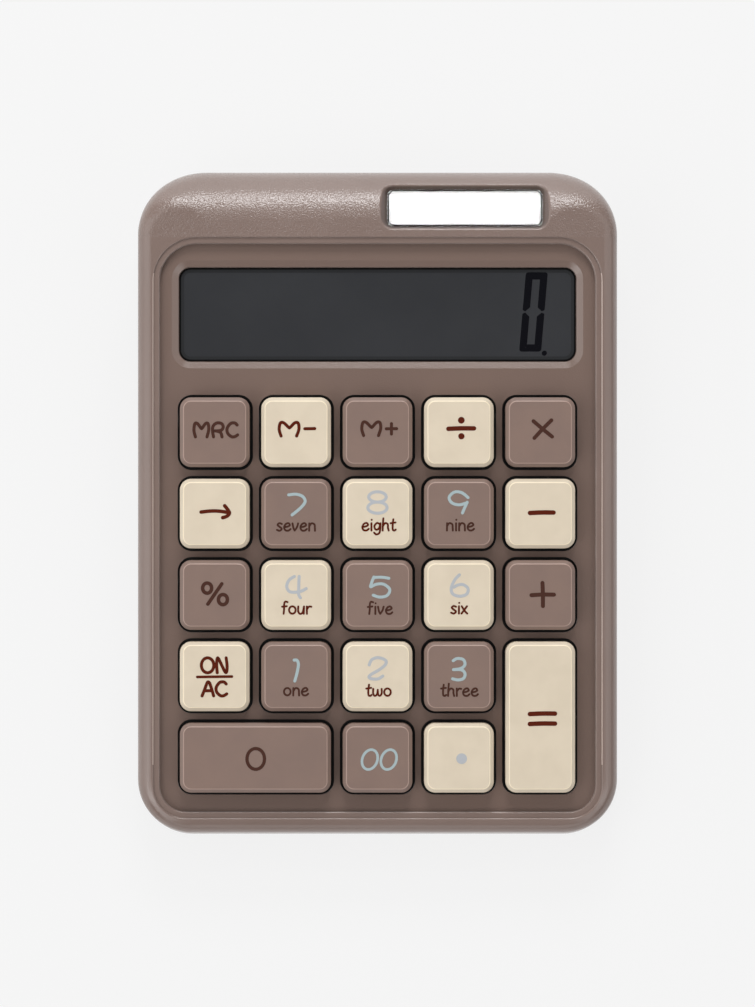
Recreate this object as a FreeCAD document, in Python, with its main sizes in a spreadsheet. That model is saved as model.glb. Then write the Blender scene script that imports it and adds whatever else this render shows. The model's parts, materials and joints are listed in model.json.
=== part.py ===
# Desk calculator: a wedge-shaped two-shell case with a sunken deck, 23 sliding keys, a display under a smoked
# window, a solar cell in the thick rear bolster, and an AAA cell behind a sliding door underneath.
# Millimetres, +X right, +Y to the rear, +Z up; the origin is under the middle of the case, on the desk.
import FreeCAD, Part
import math
import os
import Sketcher
from FreeCAD import Placement, Rotation, Vector

doc = FreeCAD.newDocument("desk_calculator")

# Driving sizes, each the alias of a cell in the sheet Sizes. Heights called w are square to the deck.
SIZES = {
    # Keys
    "key_pitch": 18.1,
    "key_size": 15.5,
    "key_corner": 2.5,
    "key_rise": 5.2,
    "key_travel": 2.0,
    "key_bevel": 0.85,
    "key_edge_round": 0.35,
    "key_clearance": 0.65,
    "key_flange": 0.5,
    "key_flange_thickness": 1.0,
    "key_flange_gap": 0.1,
    "key_wall": 1.3,
    "key_roof": 1.6,
    "plunger_radius": 2.4,
    "plunger_drop": 0.3,
    # Deck and rim
    "side_margin": 4.6,
    "front_margin": 4.4,
    "rear_margin": 5.1,
    "display_gap": 8.0,
    "display_length": 21.2,
    "display_overhang": 0.5,
    "display_corner": 2.7,
    "ledge_width": 1.35,
    "ledge_drop": 0.5,
    "rim_width": 3.6,
    "front_rim_width": 3.4,
    "rim_height": 2.2,
    "rim_round": 3.1,
    "rim_edge_round": 0.35,
    "recess_front_corner": 5.8,
    "recess_rear_corner": 8.3,
    "bolster_depth": 15.95,
    "bolster_round": 11.3,
    "deck_thickness": 2.4,
    "deck_tilt": 5.0,
    "front_height": 13.0,
    # Shells
    "front_corner": 12.0,
    "rear_corner": 15.3,
    "wall": 2.0,
    "floor_thickness": 2.4,
    "parting_height": 7.0,
    "bottom_round": 3.0,
    "seam_chamfer": 0.3,
    "cavity_round": 1.2,
    "lip_thickness": 0.9,
    "lip_height": 1.5,
    "lip_clearance": 0.15,
    # Feet
    "foot_radius": 5.0,
    "foot_proud": 1.0,
    "foot_sunk": 0.5,
    "foot_chamfer": 0.4,
    "foot_clearance": 0.2,
    "foot_inset": 11.0,
    "rear_foot_setback": 25.5,
    # Screws
    "front_screw_reach": 30.0,
    "front_screw_inset": 4.9,
    "rear_screw_inset": 10.5,
    "screw_radius": 1.3,
    "screw_head_radius": 2.5,
    "screw_head_height": 1.6,
    "screw_seat_height": 4.0,
    "screw_grip": 2.6,
    "screw_cross": 3.4,
    "screw_slot": 0.7,
    "screw_clearance": 0.2,
    "thread_clearance": 0.05,
    "boss_radius": 2.6,
    "post_radius": 3.6,
    # Display
    "frame_bevel": 1.45,
    "window_set": 0.5,
    "window_thickness": 1.0,
    "window_clearance": 0.15,
    "window_lip": 0.9,
    "glass_thickness": 1.4,
    "glass_overlap": 1.6,
    "glass_ledge": 2.0,
    "carrier_wall": 1.2,
    "carrier_clearance": 0.2,
    "strip_width": 1.4,
    "strip_inset": 3.0,
    # Solar cell
    "solar_offset": 19.5,
    "solar_setback": 9.2,
    "solar_sink": 1.2,
    "solar_tilt": 13.0,
    "solar_width": 34.6,
    "solar_length": 8.4,
    "solar_corner": 1.5,
    "solar_clearance": 0.2,
    "solar_flare": 1.75,
    "solar_flare_height": 4.0,
    "solar_edge_round": 0.5,
    "solar_window_thickness": 1.0,
    "solar_lip": 1.0,
    "solar_seat": 1.2,
    "solar_cell_thickness": 1.1,
    "solar_housing_wall": 1.6,
    "solar_lead_spread": 12.0,
    # Board and membrane
    "board_thickness": 1.6,
    "board_edge_gap": 0.5,
    "board_front_gap": 0.3,
    "board_tail": 3.0,
    "board_boss_radius": 1.9,
    "board_boss_inset": 1.9,
    "board_screw_radius": 1.0,
    "board_screw_head_radius": 2.0,
    "board_screw_head_height": 1.2,
    "board_screw_cross": 2.6,
    "board_screw_length": 3.2,
    "membrane_thickness": 0.8,
    "membrane_margin": 1.0,
    "dome_spare": 0.9,
    "dome_base_radius": 4.2,
    "dome_top_radius": 2.6,
    "dome_wall": 0.8,
    "dome_roof": 1.0,
    "dome_gap": 0.1,
    "pill_radius": 1.5,
    "pill_thickness": 0.6,
    "blob_radius": 5.0,
    "blob_height": 1.5,
    "capacitor_radius": 2.5,
    "capacitor_height": 5.5,
    "capacitor_spread": 30.0,
    "capacitor_inset": 17.7,
    # Battery and door
    "battery_length": 44.5,
    "battery_radius": 5.25,
    "battery_nub_length": 0.8,
    "battery_nub_radius": 1.9,
    "battery_clearance": 0.3,
    "bay_setback": 10.3,
    "bay_wall": 1.4,
    "bay_roof_thickness": 1.0,
    "spring_room": 4.0,
    "plate_room": 0.6,
    "contact_thickness": 0.4,
    "contact_width": 8.0,
    "contact_rise": 2.0,
    "contact_tab_width": 3.0,
    "contact_gap": 0.1,
    "leaf_reach": 4.2,
    "leaf_fold": 0.6,
    "door_thickness": 1.5,
    "door_overlap": 2.0,
    "door_lap": 1.2,
    "door_clearance": 0.15,
    "tongue_width": 1.2,
    "tongue_thickness": 0.7,
    "grip_length": 14.0,
    "grip_width": 0.9,
    "grip_depth": 0.4,
    "grip_pitch": 2.2,
    "lead_radius": 0.4,
    "lead_rise": 3.2,
    "lead_bend": 1.2,
}

# Sizes worked out from those, each the alias of a cell in the sheet Layout. A v is measured along the deck
# from the front face, a y along +Y.
LAYOUT = {
    "tilt_cos": "cos(Sizes.deck_tilt * 1deg)",
    "tilt_sin": "sin(Sizes.deck_tilt * 1deg)",
    "block_width": "4 * Sizes.key_pitch + Sizes.key_size",
    "recess_width": "block_width + 2 * Sizes.side_margin",
    "case_width": "recess_width + 2 * (Sizes.ledge_width + Sizes.rim_width)",
    "recess_front": "Sizes.front_rim_width + Sizes.ledge_width",
    "block_front": "recess_front + Sizes.front_margin",
    "block_rear": "block_front + block_width",
    "display_front": "block_rear + Sizes.display_gap",
    "display_rear": "display_front + Sizes.display_length",
    "display_v": "display_front + Sizes.display_length / 2",
    "display_width": "block_width + 2 * Sizes.display_overhang",
    "recess_rear": "display_rear + Sizes.rear_margin",
    "recess_length": "recess_rear - recess_front",
    "recess_v": "(recess_front + recess_rear) / 2",
    "ledge_height": "Sizes.rim_height - Sizes.ledge_drop",
    "deck_length": "recess_rear + Sizes.ledge_width + Sizes.bolster_depth",
    "case_length": "deck_length * tilt_cos",
    "deck_y": "-case_length / 2",
    "first_row": "block_front + Sizes.key_size / 2",
    "blank_height": "Sizes.front_height + deck_length * tilt_sin + 3 * Sizes.rim_height",
    "floor_top": "Sizes.foot_proud + Sizes.floor_thickness",
    "lip_inset": "Sizes.wall + Sizes.lip_clearance",
    "lower_wall": "lip_inset + Sizes.lip_thickness",
    "lip_top": "Sizes.parting_height + Sizes.lip_height",
    "window_top": "-Sizes.window_set",
    "window_seat": "window_top - Sizes.window_thickness",
    "flange_top": "-Sizes.deck_thickness - Sizes.key_flange_gap",
    "flange_bottom": "flange_top - Sizes.key_flange_thickness",
    "plunger_bottom": "flange_bottom - Sizes.plunger_drop",
    "dome_top": "plunger_bottom - Sizes.dome_gap",
    "dome_height": "Sizes.key_travel + Sizes.dome_spare",
    "membrane_top": "dome_top - dome_height",
    "board_top": "membrane_top - Sizes.membrane_thickness",
    "board_bottom": "board_top - Sizes.board_thickness",
    "opening_size": "Sizes.key_size + 2 * Sizes.key_clearance",
    "flange_size": "opening_size + 2 * Sizes.key_flange",
    "glass_width": "display_width - 2 * Sizes.window_lip + 2 * Sizes.glass_overlap",
    "glass_length": "Sizes.display_length - 2 * Sizes.window_lip + 2 * Sizes.glass_overlap",
    "glass_front_length": "glass_length + 2 * Sizes.glass_ledge",
    "carrier_inner_width": "glass_width + 2 * Sizes.carrier_clearance",
    "carrier_inner_length": "glass_front_length + 2 * Sizes.carrier_clearance",
    "carrier_width": "carrier_inner_width + 2 * Sizes.carrier_wall",
    "carrier_length": "carrier_inner_length + 2 * Sizes.carrier_wall",
    "board_front": "block_front + Sizes.board_front_gap",
    "board_rear": "display_v + carrier_length / 2 + Sizes.board_tail",
    "board_width": "case_width - 2 * (lower_wall + Sizes.board_edge_gap)",
    "board_boss_u": "board_width / 2 - Sizes.board_boss_inset",
    "front_screw_y": "deck_y + Sizes.front_screw_inset",
    "rear_screw_x": "case_width / 2 - Sizes.rear_screw_inset",
    "rear_screw_y": "case_length / 2 - Sizes.rear_screw_inset",
    "foot_x": "case_width / 2 - Sizes.foot_inset",
    "front_foot_y": "deck_y + Sizes.foot_inset",
    "rear_foot_y": "case_length / 2 - Sizes.rear_foot_setback",
    "solar_v": "deck_length - Sizes.solar_setback",
    "solar_hole_width": "Sizes.solar_width + 2 * Sizes.solar_clearance",
    "solar_hole_length": "Sizes.solar_length + 2 * Sizes.solar_clearance",
    "solar_bed": "Sizes.solar_window_thickness + Sizes.solar_seat",
    "bay_y": "case_length / 2 - Sizes.bay_setback",
    "bay_length": "Sizes.battery_length + Sizes.spring_room + Sizes.plate_room",
    "bay_width": "2 * (Sizes.battery_radius + Sizes.battery_clearance)",
    "door_top": "Sizes.foot_proud + Sizes.door_thickness",
    "battery_z": "door_top + Sizes.battery_clearance + Sizes.battery_radius",
    "bay_roof": "battery_z + Sizes.battery_radius + Sizes.battery_clearance",
    "bay_top": "bay_roof + Sizes.bay_roof_thickness",
    "battery_start": "-bay_length / 2 + Sizes.spring_room",
    "battery_end": "battery_start + Sizes.battery_length",
    "door_half": "bay_length / 2 + Sizes.door_overlap",
    "door_front": "bay_y - bay_width / 2 - Sizes.door_lap",
    "door_run": "case_length / 2 - door_front",
}

KEY_COLUMNS = 5
KEY_ROWS = 5
ACROSS = Vector(1, 0, 0)

# Column and row of each key, counted from the left and from the front, and how many cells it takes each way.
KEYS = {
    "key_0": (0, 0, 2, 1),
    "key_00": (2, 0, 1, 1),
    "key_point": (3, 0, 1, 1),
    "key_equals": (4, 0, 1, 2),
    "key_on_ac": (0, 1, 1, 1),
    "key_1": (1, 1, 1, 1),
    "key_2": (2, 1, 1, 1),
    "key_3": (3, 1, 1, 1),
    "key_percent": (0, 2, 1, 1),
    "key_4": (1, 2, 1, 1),
    "key_5": (2, 2, 1, 1),
    "key_6": (3, 2, 1, 1),
    "key_plus": (4, 2, 1, 1),
    "key_backspace": (0, 3, 1, 1),
    "key_7": (1, 3, 1, 1),
    "key_8": (2, 3, 1, 1),
    "key_9": (3, 3, 1, 1),
    "key_minus": (4, 3, 1, 1),
    "key_mrc": (0, 4, 1, 1),
    "key_m_minus": (1, 4, 1, 1),
    "key_m_plus": (2, 4, 1, 1),
    "key_divide": (3, 4, 1, 1),
    "key_multiply": (4, 4, 1, 1),
}

nodes = {}


# Sheets and expressions
def fill_sheet(name, cells):
    sheet = doc.addObject("Spreadsheet::Sheet", name)
    for row, (alias, content) in enumerate(cells.items(), start=1):
        sheet.set(f"A{row}", alias)
        sheet.set(f"B{row}", content)
        sheet.setAlias(f"B{row}", alias)
    doc.recompute()
    return sheet


sizes = fill_sheet("Sizes", {alias: str(number) for alias, number in SIZES.items()})
layout = fill_sheet("Layout", {alias: "=" + formula for alias, formula in LAYOUT.items()})


def size(alias):
    return float(sizes.get(alias))


def worked(alias):
    return float(layout.get(alias))


def number(expression):
    return float(layout.evalExpression(expression))


def bind(item, **bindings):
    for path, expression in bindings.items():
        item.setExpression(path, expression)


def upright(item, x="0", y="0", z="0", path="Placement"):
    for axis, expression in zip("xyz", (x, y, z)):
        item.setExpression(f"{path}.Base.{axis}", expression)


def on_deck(item, u="0", v="0", w="0", lean="0", path="Placement"):
    """Put an item in the deck's tilted frame, leaning further back by an angle."""
    setattr(item, path, Placement(Vector(), Rotation(ACROSS, number(f"Sizes.deck_tilt - ({lean})"))))
    item.setExpression(f"{path}.Rotation.Angle", f"Sizes.deck_tilt - ({lean})")
    y = f"Layout.deck_y + ({v}) * Layout.tilt_cos - ({w}) * Layout.tilt_sin"
    z = f"Sizes.front_height + ({v}) * Layout.tilt_sin + ({w}) * Layout.tilt_cos"
    upright(item, u, y, z, path)


def deck_point(u, v, w):
    y = worked("deck_y") + v * worked("tilt_cos") - w * worked("tilt_sin")
    z = size("front_height") + v * worked("tilt_sin") + w * worked("tilt_cos")
    return Vector(u, y, z)


# Sketches
def draw_rounded(sketch, width, length, front_corner, rear_corner=None):
    """Draw a rounded rectangle about the sketch's origin, with its sizes bound to expressions."""
    rear_corner = rear_corner or front_corner
    x = number(width) / 2
    y = number(length) / 2
    front = number(front_corner)
    rear = number(rear_corner)
    corners = (
        (Vector(x - front, -y + front, 0), front, 270),
        (Vector(x - rear, y - rear, 0), rear, 0),
        (Vector(-x + rear, y - rear, 0), rear, 90),
        (Vector(-x + front, -y + front, 0), front, 180),
    )
    arcs = []
    for centre, radius, start in corners:
        circle = Part.Circle(centre, Vector(0, 0, 1), radius)
        arcs.append(Part.ArcOfCircle(circle, math.radians(start), math.radians(start + 90)))
    sides = [Part.LineSegment(arcs[i - 1].EndPoint, arcs[i].StartPoint) for i in range(4)]
    shapes = [shape for pair in zip(sides, arcs) for shape in pair]
    sketch.addGeometry(shapes, False)
    rules = [Sketcher.Constraint("Tangent", i, 2, (i + 1) % 8, 1) for i in range(8)]
    rules += [
        Sketcher.Constraint("Symmetric", 0, 1, 0, 2, -2),
        Sketcher.Constraint("Vertical", 2),
        Sketcher.Constraint("Horizontal", 4),
        Sketcher.Constraint("Vertical", 6),
        Sketcher.Constraint("Equal", 1, 7),
        Sketcher.Constraint("Equal", 3, 5),
    ]
    measures = {
        "width": (Sketcher.Constraint("DistanceX", 6, 1, 2, 1, 2 * x), width),
        "front_reach": (Sketcher.Constraint("DistanceY", 0, 1, -1, 1, y), f"({length}) / 2"),
        "rear_reach": (Sketcher.Constraint("DistanceY", -1, 1, 4, 1, y), f"({length}) / 2"),
        "front_corner": (Sketcher.Constraint("Radius", 1, front), front_corner),
        "rear_corner": (Sketcher.Constraint("Radius", 3, rear), rear_corner),
    }
    first = len(rules)
    sketch.addConstraint(rules + [rule for rule, expression in measures.values()])
    for index, (name, (rule, expression)) in enumerate(measures.items(), start=first):
        sketch.renameConstraint(index, name)
        sketch.setExpression(f"Constraints.{name}", expression)


def draw_rectangle(sketch, width, length):
    """Draw a plain rectangle about the sketch's origin, with its sizes bound to expressions."""
    x = number(width) / 2
    y = number(length) / 2
    points = (Vector(-x, -y, 0), Vector(x, -y, 0), Vector(x, y, 0), Vector(-x, y, 0))
    sketch.addGeometry([Part.LineSegment(points[i], points[(i + 1) % 4]) for i in range(4)], False)
    rules = [Sketcher.Constraint("Coincident", i, 2, (i + 1) % 4, 1) for i in range(4)]
    rules += [
        Sketcher.Constraint("Horizontal", 0),
        Sketcher.Constraint("Vertical", 1),
        Sketcher.Constraint("Horizontal", 2),
        Sketcher.Constraint("Vertical", 3),
        Sketcher.Constraint("Symmetric", 0, 1, 1, 2, -1, 1),
        Sketcher.Constraint("DistanceX", 0, 1, 0, 2, 2 * x),
        Sketcher.Constraint("DistanceY", 1, 1, 1, 2, 2 * y),
    ]
    sketch.addConstraint(rules)
    sketch.renameConstraint(len(rules) - 2, "width")
    sketch.renameConstraint(len(rules) - 1, "length")
    bind(sketch, **{"Constraints.width": width, "Constraints.length": length})


def attached(body, kind, name):
    """A new sketch or solid of a body, attached to the body's own XY plane."""
    item = body.newObject(kind, name)
    plane = next(feature for feature in body.Origin.OriginFeatures if feature.Role == "XY_Plane")
    item.AttachmentSupport = [(plane, "")]
    item.MapMode = "FlatFace"
    return item


def body_sketch(body, name):
    return attached(body, "Sketcher::SketchObject", name)


# Features
def pad(body, name, sketch, length):
    feature = body.newObject("PartDesign::Pad", name)
    feature.Profile = sketch
    bind(feature, Length=length)
    return feature


def pocket(body, name, sketch, depth=None):
    """Cut down from a sketch, by a depth or through everything."""
    feature = body.newObject("PartDesign::Pocket", name)
    feature.Profile = sketch
    if depth:
        bind(feature, Length=depth)
    else:
        feature.Type = "ThroughAll"
    return feature


def rounded_pad(body, name, width, length, corner, bottom, height):
    sketch = body_sketch(body, f"{name}_sketch")
    draw_rounded(sketch, width, length, corner)
    bind(sketch, **{"AttachmentOffset.Base.z": bottom})
    return pad(body, name, sketch, height)


def grid_pattern(body, name, sketch, originals):
    """Repeat features over the grid of key cells, along a sketch's own axes."""
    grid = body.newObject("PartDesign::MultiTransform", name)
    grid.Originals = originals
    steps = []
    for axis, count in (("H_Axis", KEY_COLUMNS), ("V_Axis", KEY_ROWS)):
        step = body.newObject("PartDesign::LinearPattern", f"{name}_{axis}")
        step.Direction = (sketch, [axis])
        step.Occurrences = count
        bind(step, Length=f"{count - 1} * Sizes.key_pitch")
        steps.append(step)
    grid.Transformations = steps
    body.Tip = grid
    return grid


def outline_block(name, inset, bottom, top):
    """A prism of the case's plan outline, drawn in by an inset."""
    sketch = doc.addObject("Sketcher::SketchObject", f"{name}_sketch")
    draw_rounded(
        sketch,
        f"Layout.case_width - 2 * ({inset})",
        f"Layout.case_length - 2 * ({inset})",
        f"Sizes.front_corner - ({inset})",
        f"Sizes.rear_corner - ({inset})",
    )
    upright(sketch, z=bottom)
    block = doc.addObject("Part::Extrusion", name)
    block.Base = sketch
    block.DirMode = "Custom"
    block.Dir = Vector(0, 0, 1)
    block.Solid = True
    bind(block, LengthFwd=f"({top}) - ({bottom})")
    return block


def box(name, x, y, z, length, width, height, centred=""):
    """A box from its low corner, or from its middle along the axes named in centred."""
    item = doc.addObject("Part::Box", name)
    bind(item, Length=length, Width=width, Height=height)
    places = []
    for axis, place, span in zip("xyz", (x, y, z), (length, width, height)):
        places.append(f"{place} - ({span}) / 2" if axis in centred else place)
    upright(item, *places)
    return item


def cylinder(name, radius, height):
    item = doc.addObject("Part::Cylinder", name)
    bind(item, Radius=radius, Height=height)
    return item


def cut(name, base, tool):
    item = doc.addObject("Part::Cut", name)
    item.Base = base
    item.Tool = tool
    return item


def fuse(name, shapes):
    item = doc.addObject("Part::MultiFuse", name)
    item.Shapes = shapes
    return item


def common(name, shapes):
    item = doc.addObject("Part::MultiCommon", name)
    item.Shapes = shapes
    return item


def group(name, links):
    item = doc.addObject("Part::Compound", name)
    item.Links = links
    return item


def keep(label, item):
    item.Label = label
    nodes[label] = item
    return item


def edges_at(item, height):
    """Numbers of an item's edges that lie flat at a height."""
    found = []
    for index, edge in enumerate(item.Shape.Edges, start=1):
        if all(abs(vertex.Z - height) < 1e-6 for vertex in edge.Vertexes):
            found.append(index)
    return found


def deck_edges(item, height, half_width, front, rear):
    """Names of an item's edges at a height over the deck, inside a rectangle of the deck."""
    to_deck = Placement(deck_point(0, 0, 0), Rotation(ACROSS, size("deck_tilt"))).inverse()
    slack = 0.01
    found = []
    for index, edge in enumerate(item.Shape.Edges, start=1):
        places = [to_deck.multVec(edge.valueAt(end)) for end in (edge.FirstParameter, edge.LastParameter)]
        level = all(abs(place.z - height) < slack for place in places)
        inside = all(abs(place.x) < half_width + slack for place in places)
        between = all(front - slack < place.y < rear + slack for place in places)
        if level and inside and between:
            found.append(f"Edge{index}")
    return found


def mouth_edges(recess, foot):
    """Names of the edges where a recess opens on the surface, all of them clear of its foot sketch."""
    walls = recess.AddSubShape.Shells[0]
    to_foot = foot.Placement.inverse()
    slack = 0.01
    found = []
    for index, edge in enumerate(recess.Shape.Edges, start=1):
        start, end = edge.FirstParameter, edge.LastParameter
        points = [edge.valueAt(place) for place in (start, (start + end) / 2, end)]
        if any(to_foot.multVec(point).z < slack for point in points):
            continue
        if all(walls.distToShape(Part.Vertex(point))[0] < slack for point in points):
            found.append(f"Edge{index}")
    return found


def break_edges(kind, name, base, height, amount):
    """Chamfer or fillet the edges of a base that lie at a height."""
    doc.recompute()
    item = doc.addObject(kind, name)
    item.Base = base
    item.Edges = [(index, amount, amount) for index in edges_at(base, height)]
    return item


def round_sloping_top(name, base, rear_y, rear_round, side_round):
    """Round a shell's sloping top edge: wide along the rear, narrow elsewhere, blending at the corners."""
    doc.recompute()
    low = min(vertex.Z for vertex in base.Shape.Vertexes)
    bottom_edges = edges_at(base, low)
    radii = []
    for index, edge in enumerate(base.Shape.Edges, start=1):
        start = edge.valueAt(edge.FirstParameter)
        end = edge.valueAt(edge.LastParameter)
        upright_edge = abs(start.x - end.x) < 1e-6 and abs(start.y - end.y) < 1e-6
        if index in bottom_edges or upright_edge or min(start.z, end.z) < low + size("rim_height"):
            continue
        ends = [rear_round if point.y > rear_y - 1e-6 else side_round for point in (start, end)]
        radii.append((index, *ends))
    item = doc.addObject("Part::Fillet", name)
    item.Base = base
    item.Edges = radii
    return item


def sloping_block(name, inset, top):
    """The part of an outline prism above the parting plane and below a plane parallel to the deck."""
    block = outline_block(f"{name}_prism", inset, "Sizes.parting_height", "Layout.blank_height")
    trim = doc.addObject("Part::Box", f"{name}_trim")
    bind(trim, Length="2 * Layout.case_width", Width="2 * Layout.deck_length", Height="Layout.blank_height")
    on_deck(trim, "-Layout.case_width", "-Layout.deck_length / 2", top)
    return cut(f"{name}_sloped", block, trim)


# Upper case
def make_upper_skin():
    sloped = sloping_block("upper", "0", "Sizes.rim_height")
    seam = break_edges("Part::Chamfer", "upper_seam", sloped, size("parting_height"), size("seam_chamfer"))
    rounded = round_sloping_top(
        "upper_round", seam, worked("case_length") / 2, size("bolster_round"), size("rim_round")
    )
    doc.recompute()
    body = doc.addObject("PartDesign::Body", "upper_skin")
    body.BaseFeature = rounded

    def deck_sketch(name, u, v, w):
        sketch = body_sketch(body, name)
        on_deck(sketch, u, v, w, path="AttachmentOffset")
        return sketch

    ledge = deck_sketch("ledge_sketch", "0", "Layout.recess_v", "Sizes.rim_height")
    draw_rounded(
        ledge,
        "Layout.recess_width + 2 * Sizes.ledge_width",
        "Layout.recess_length + 2 * Sizes.ledge_width",
        "Sizes.recess_front_corner + Sizes.ledge_width",
        "Sizes.recess_rear_corner + Sizes.ledge_width",
    )
    pocket(body, "ledge", ledge, "Sizes.ledge_drop")

    recess = deck_sketch("recess_sketch", "0", "Layout.recess_v", "Sizes.rim_height")
    draw_rounded(
        recess,
        "Layout.recess_width",
        "Layout.recess_length",
        "Sizes.recess_front_corner",
        "Sizes.recess_rear_corner",
    )
    sunken = pocket(body, "recess", recess, "Sizes.rim_height")
    doc.recompute()
    rims = []
    for height, margin in ((size("rim_height"), size("ledge_width")), (worked("ledge_height"), 0)):
        half_width = worked("recess_width") / 2 + margin
        front = worked("recess_front") - margin
        rear = worked("recess_rear") + margin
        rims += deck_edges(sunken, height, half_width, front, rear)
    soft_rim = body.newObject("PartDesign::Fillet", "soft_rim")
    soft_rim.Base = (sunken, rims)
    bind(soft_rim, Radius="Sizes.rim_edge_round")

    bevel_mouth = deck_sketch("bevel_mouth", "0", "Layout.display_v", "0")
    draw_rounded(
        bevel_mouth,
        "Layout.display_width + 2 * Sizes.frame_bevel",
        "Sizes.display_length + 2 * Sizes.frame_bevel",
        "Sizes.display_corner + Sizes.frame_bevel",
    )
    bevel_foot = deck_sketch("bevel_foot", "0", "Layout.display_v", "Layout.window_top")
    draw_rounded(bevel_foot, "Layout.display_width", "Sizes.display_length", "Sizes.display_corner")
    bevel = body.newObject("PartDesign::SubtractiveLoft", "display_bevel")
    bevel.Profile = bevel_mouth
    bevel.Sections = [bevel_foot]
    bevel.Ruled = True

    seat = deck_sketch("window_seat_sketch", "0", "Layout.display_v", "Layout.window_top")
    draw_rounded(seat, "Layout.display_width", "Sizes.display_length", "Sizes.display_corner")
    pocket(body, "window_seat", seat, "Sizes.window_thickness")

    aperture = deck_sketch("aperture_sketch", "0", "Layout.display_v", "Layout.window_seat")
    draw_rounded(
        aperture,
        "Layout.display_width - 2 * Sizes.window_lip",
        "Sizes.display_length - 2 * Sizes.window_lip",
        "Sizes.display_corner - Sizes.window_lip",
    )
    pocket(body, "aperture", aperture)

    opening = deck_sketch("opening_sketch", "-2 * Sizes.key_pitch", "Layout.first_row", "0")
    opening_corner = "Sizes.key_corner + Sizes.key_clearance"
    draw_rounded(opening, "Layout.opening_size", "Layout.opening_size", opening_corner)
    first = pocket(body, "key_opening", opening)
    doc.recompute()
    grid_pattern(body, "key_openings", opening, [first])
    doc.recompute()

    for label, (column, row, columns, rows) in KEYS.items():
        if columns * rows == 1:
            continue
        u = f"{column + (columns - 1) / 2 - 2} * Sizes.key_pitch"
        v = f"Layout.first_row + {row + (rows - 1) / 2} * Sizes.key_pitch"
        bridge = deck_sketch(f"{label}_bridge_sketch", u, v, "0")
        across = "Sizes.key_pitch" if columns > 1 else "Layout.opening_size"
        along = "Sizes.key_pitch" if rows > 1 else "Layout.opening_size"
        draw_rectangle(bridge, across, along)
        pocket(body, f"{label}_bridge", bridge)

    def solar_sketch(name, rise):
        sketch = body_sketch(body, name)
        solar_place(sketch, "0", "0", rise, "AttachmentOffset")
        return sketch

    flare_mouth = solar_sketch("solar_mouth", "Sizes.solar_flare_height")
    draw_rounded(
        flare_mouth,
        "Layout.solar_hole_width + 2 * Sizes.solar_flare",
        "Layout.solar_hole_length + 2 * Sizes.solar_flare",
        "Sizes.solar_corner + Sizes.solar_flare",
    )
    flare_foot = solar_sketch("solar_foot", "0")
    draw_rounded(flare_foot, "Layout.solar_hole_width", "Layout.solar_hole_length", "Sizes.solar_corner")
    flare = body.newObject("PartDesign::SubtractiveLoft", "solar_recess")
    flare.Profile = flare_mouth
    flare.Sections = [flare_foot]
    flare.Ruled = True
    doc.recompute()
    soft_mouth = body.newObject("PartDesign::Fillet", "soft_mouth")
    soft_mouth.Base = (flare, mouth_edges(flare, flare_foot))
    bind(soft_mouth, Radius="Sizes.solar_edge_round")

    solar_seat = solar_sketch("solar_seat_sketch", "0")
    draw_rounded(solar_seat, "Layout.solar_hole_width", "Layout.solar_hole_length", "Sizes.solar_corner")
    pocket(body, "solar_seat", solar_seat, "Sizes.solar_window_thickness")

    solar_hole = solar_sketch("solar_hole_sketch", "-Sizes.solar_window_thickness")
    draw_rectangle(
        solar_hole,
        "Layout.solar_hole_width - 2 * Sizes.solar_lip",
        "Layout.solar_hole_length - 2 * Sizes.solar_lip",
    )
    pocket(body, "solar_hole", solar_hole, "2 * Layout.solar_bed")
    return body


def case_screw_places():
    return (
        ("-Sizes.front_screw_reach", "Layout.front_screw_y"),
        ("Sizes.front_screw_reach", "Layout.front_screw_y"),
        ("-Layout.rear_screw_x", "Layout.rear_screw_y"),
        ("Layout.rear_screw_x", "Layout.rear_screw_y"),
    )


def board_screw_places():
    rows = [f"Layout.first_row + {row} * Sizes.key_pitch" for row in range(0, KEY_ROWS, 2)]
    return [(side + "Layout.board_boss_u", v) for v in rows for side in ("-", "")]


def make_upper_case():
    skin = make_upper_skin()
    sloped = sloping_block("cavity", "Sizes.wall", "-Sizes.deck_thickness")
    cavity = round_sloping_top(
        "cavity_round",
        sloped,
        worked("case_length") / 2 - size("wall"),
        size("bolster_round") - size("wall"),
        size("cavity_round"),
    )
    solids = []
    holes = []
    for index, (x, y) in enumerate(case_screw_places()):
        boss = cylinder(f"case_boss_{index}", "Sizes.boss_radius", "Layout.blank_height")
        upright(boss, x, y, "Sizes.parting_height")
        solids.append(boss)
        thread = "Sizes.screw_radius + Sizes.thread_clearance"
        pilot = cylinder(f"case_pilot_{index}", thread, "Sizes.screw_grip")
        upright(pilot, x, y, "Sizes.parting_height")
        holes.append(pilot)
    for index, (u, v) in enumerate(board_screw_places()):
        boss = cylinder(f"board_boss_{index}", "Sizes.board_boss_radius", "-Layout.board_top")
        on_deck(boss, u, v, "Layout.board_top")
        solids.append(boss)
        thread = "Sizes.board_screw_radius + Sizes.thread_clearance"
        pilot = cylinder(f"board_pilot_{index}", thread, "Sizes.board_screw_length")
        on_deck(pilot, u, v, "Layout.board_top")
        holes.append(pilot)
    housing = doc.addObject("Part::Box", "solar_housing")
    half_width = "(Layout.solar_hole_width / 2 + Sizes.solar_housing_wall)"
    half_length = "(Layout.solar_hole_length / 2 + Sizes.solar_housing_wall)"
    bind(
        housing,
        Length=f"2 * {half_width}",
        Width=f"2 * {half_length}",
        Height="Layout.solar_bed + Sizes.solar_flare_height",
    )
    solar_place(housing, f"-{half_width}", f"-{half_length}", "-Layout.solar_bed")
    solids.append(housing)
    hollow = cut("upper_hollow", cavity, fuse("upper_solids", solids))
    shell = cut("upper_shell", skin, hollow)
    keep("upper_case", cut("upper_case", shell, fuse("upper_holes", holes)))


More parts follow.
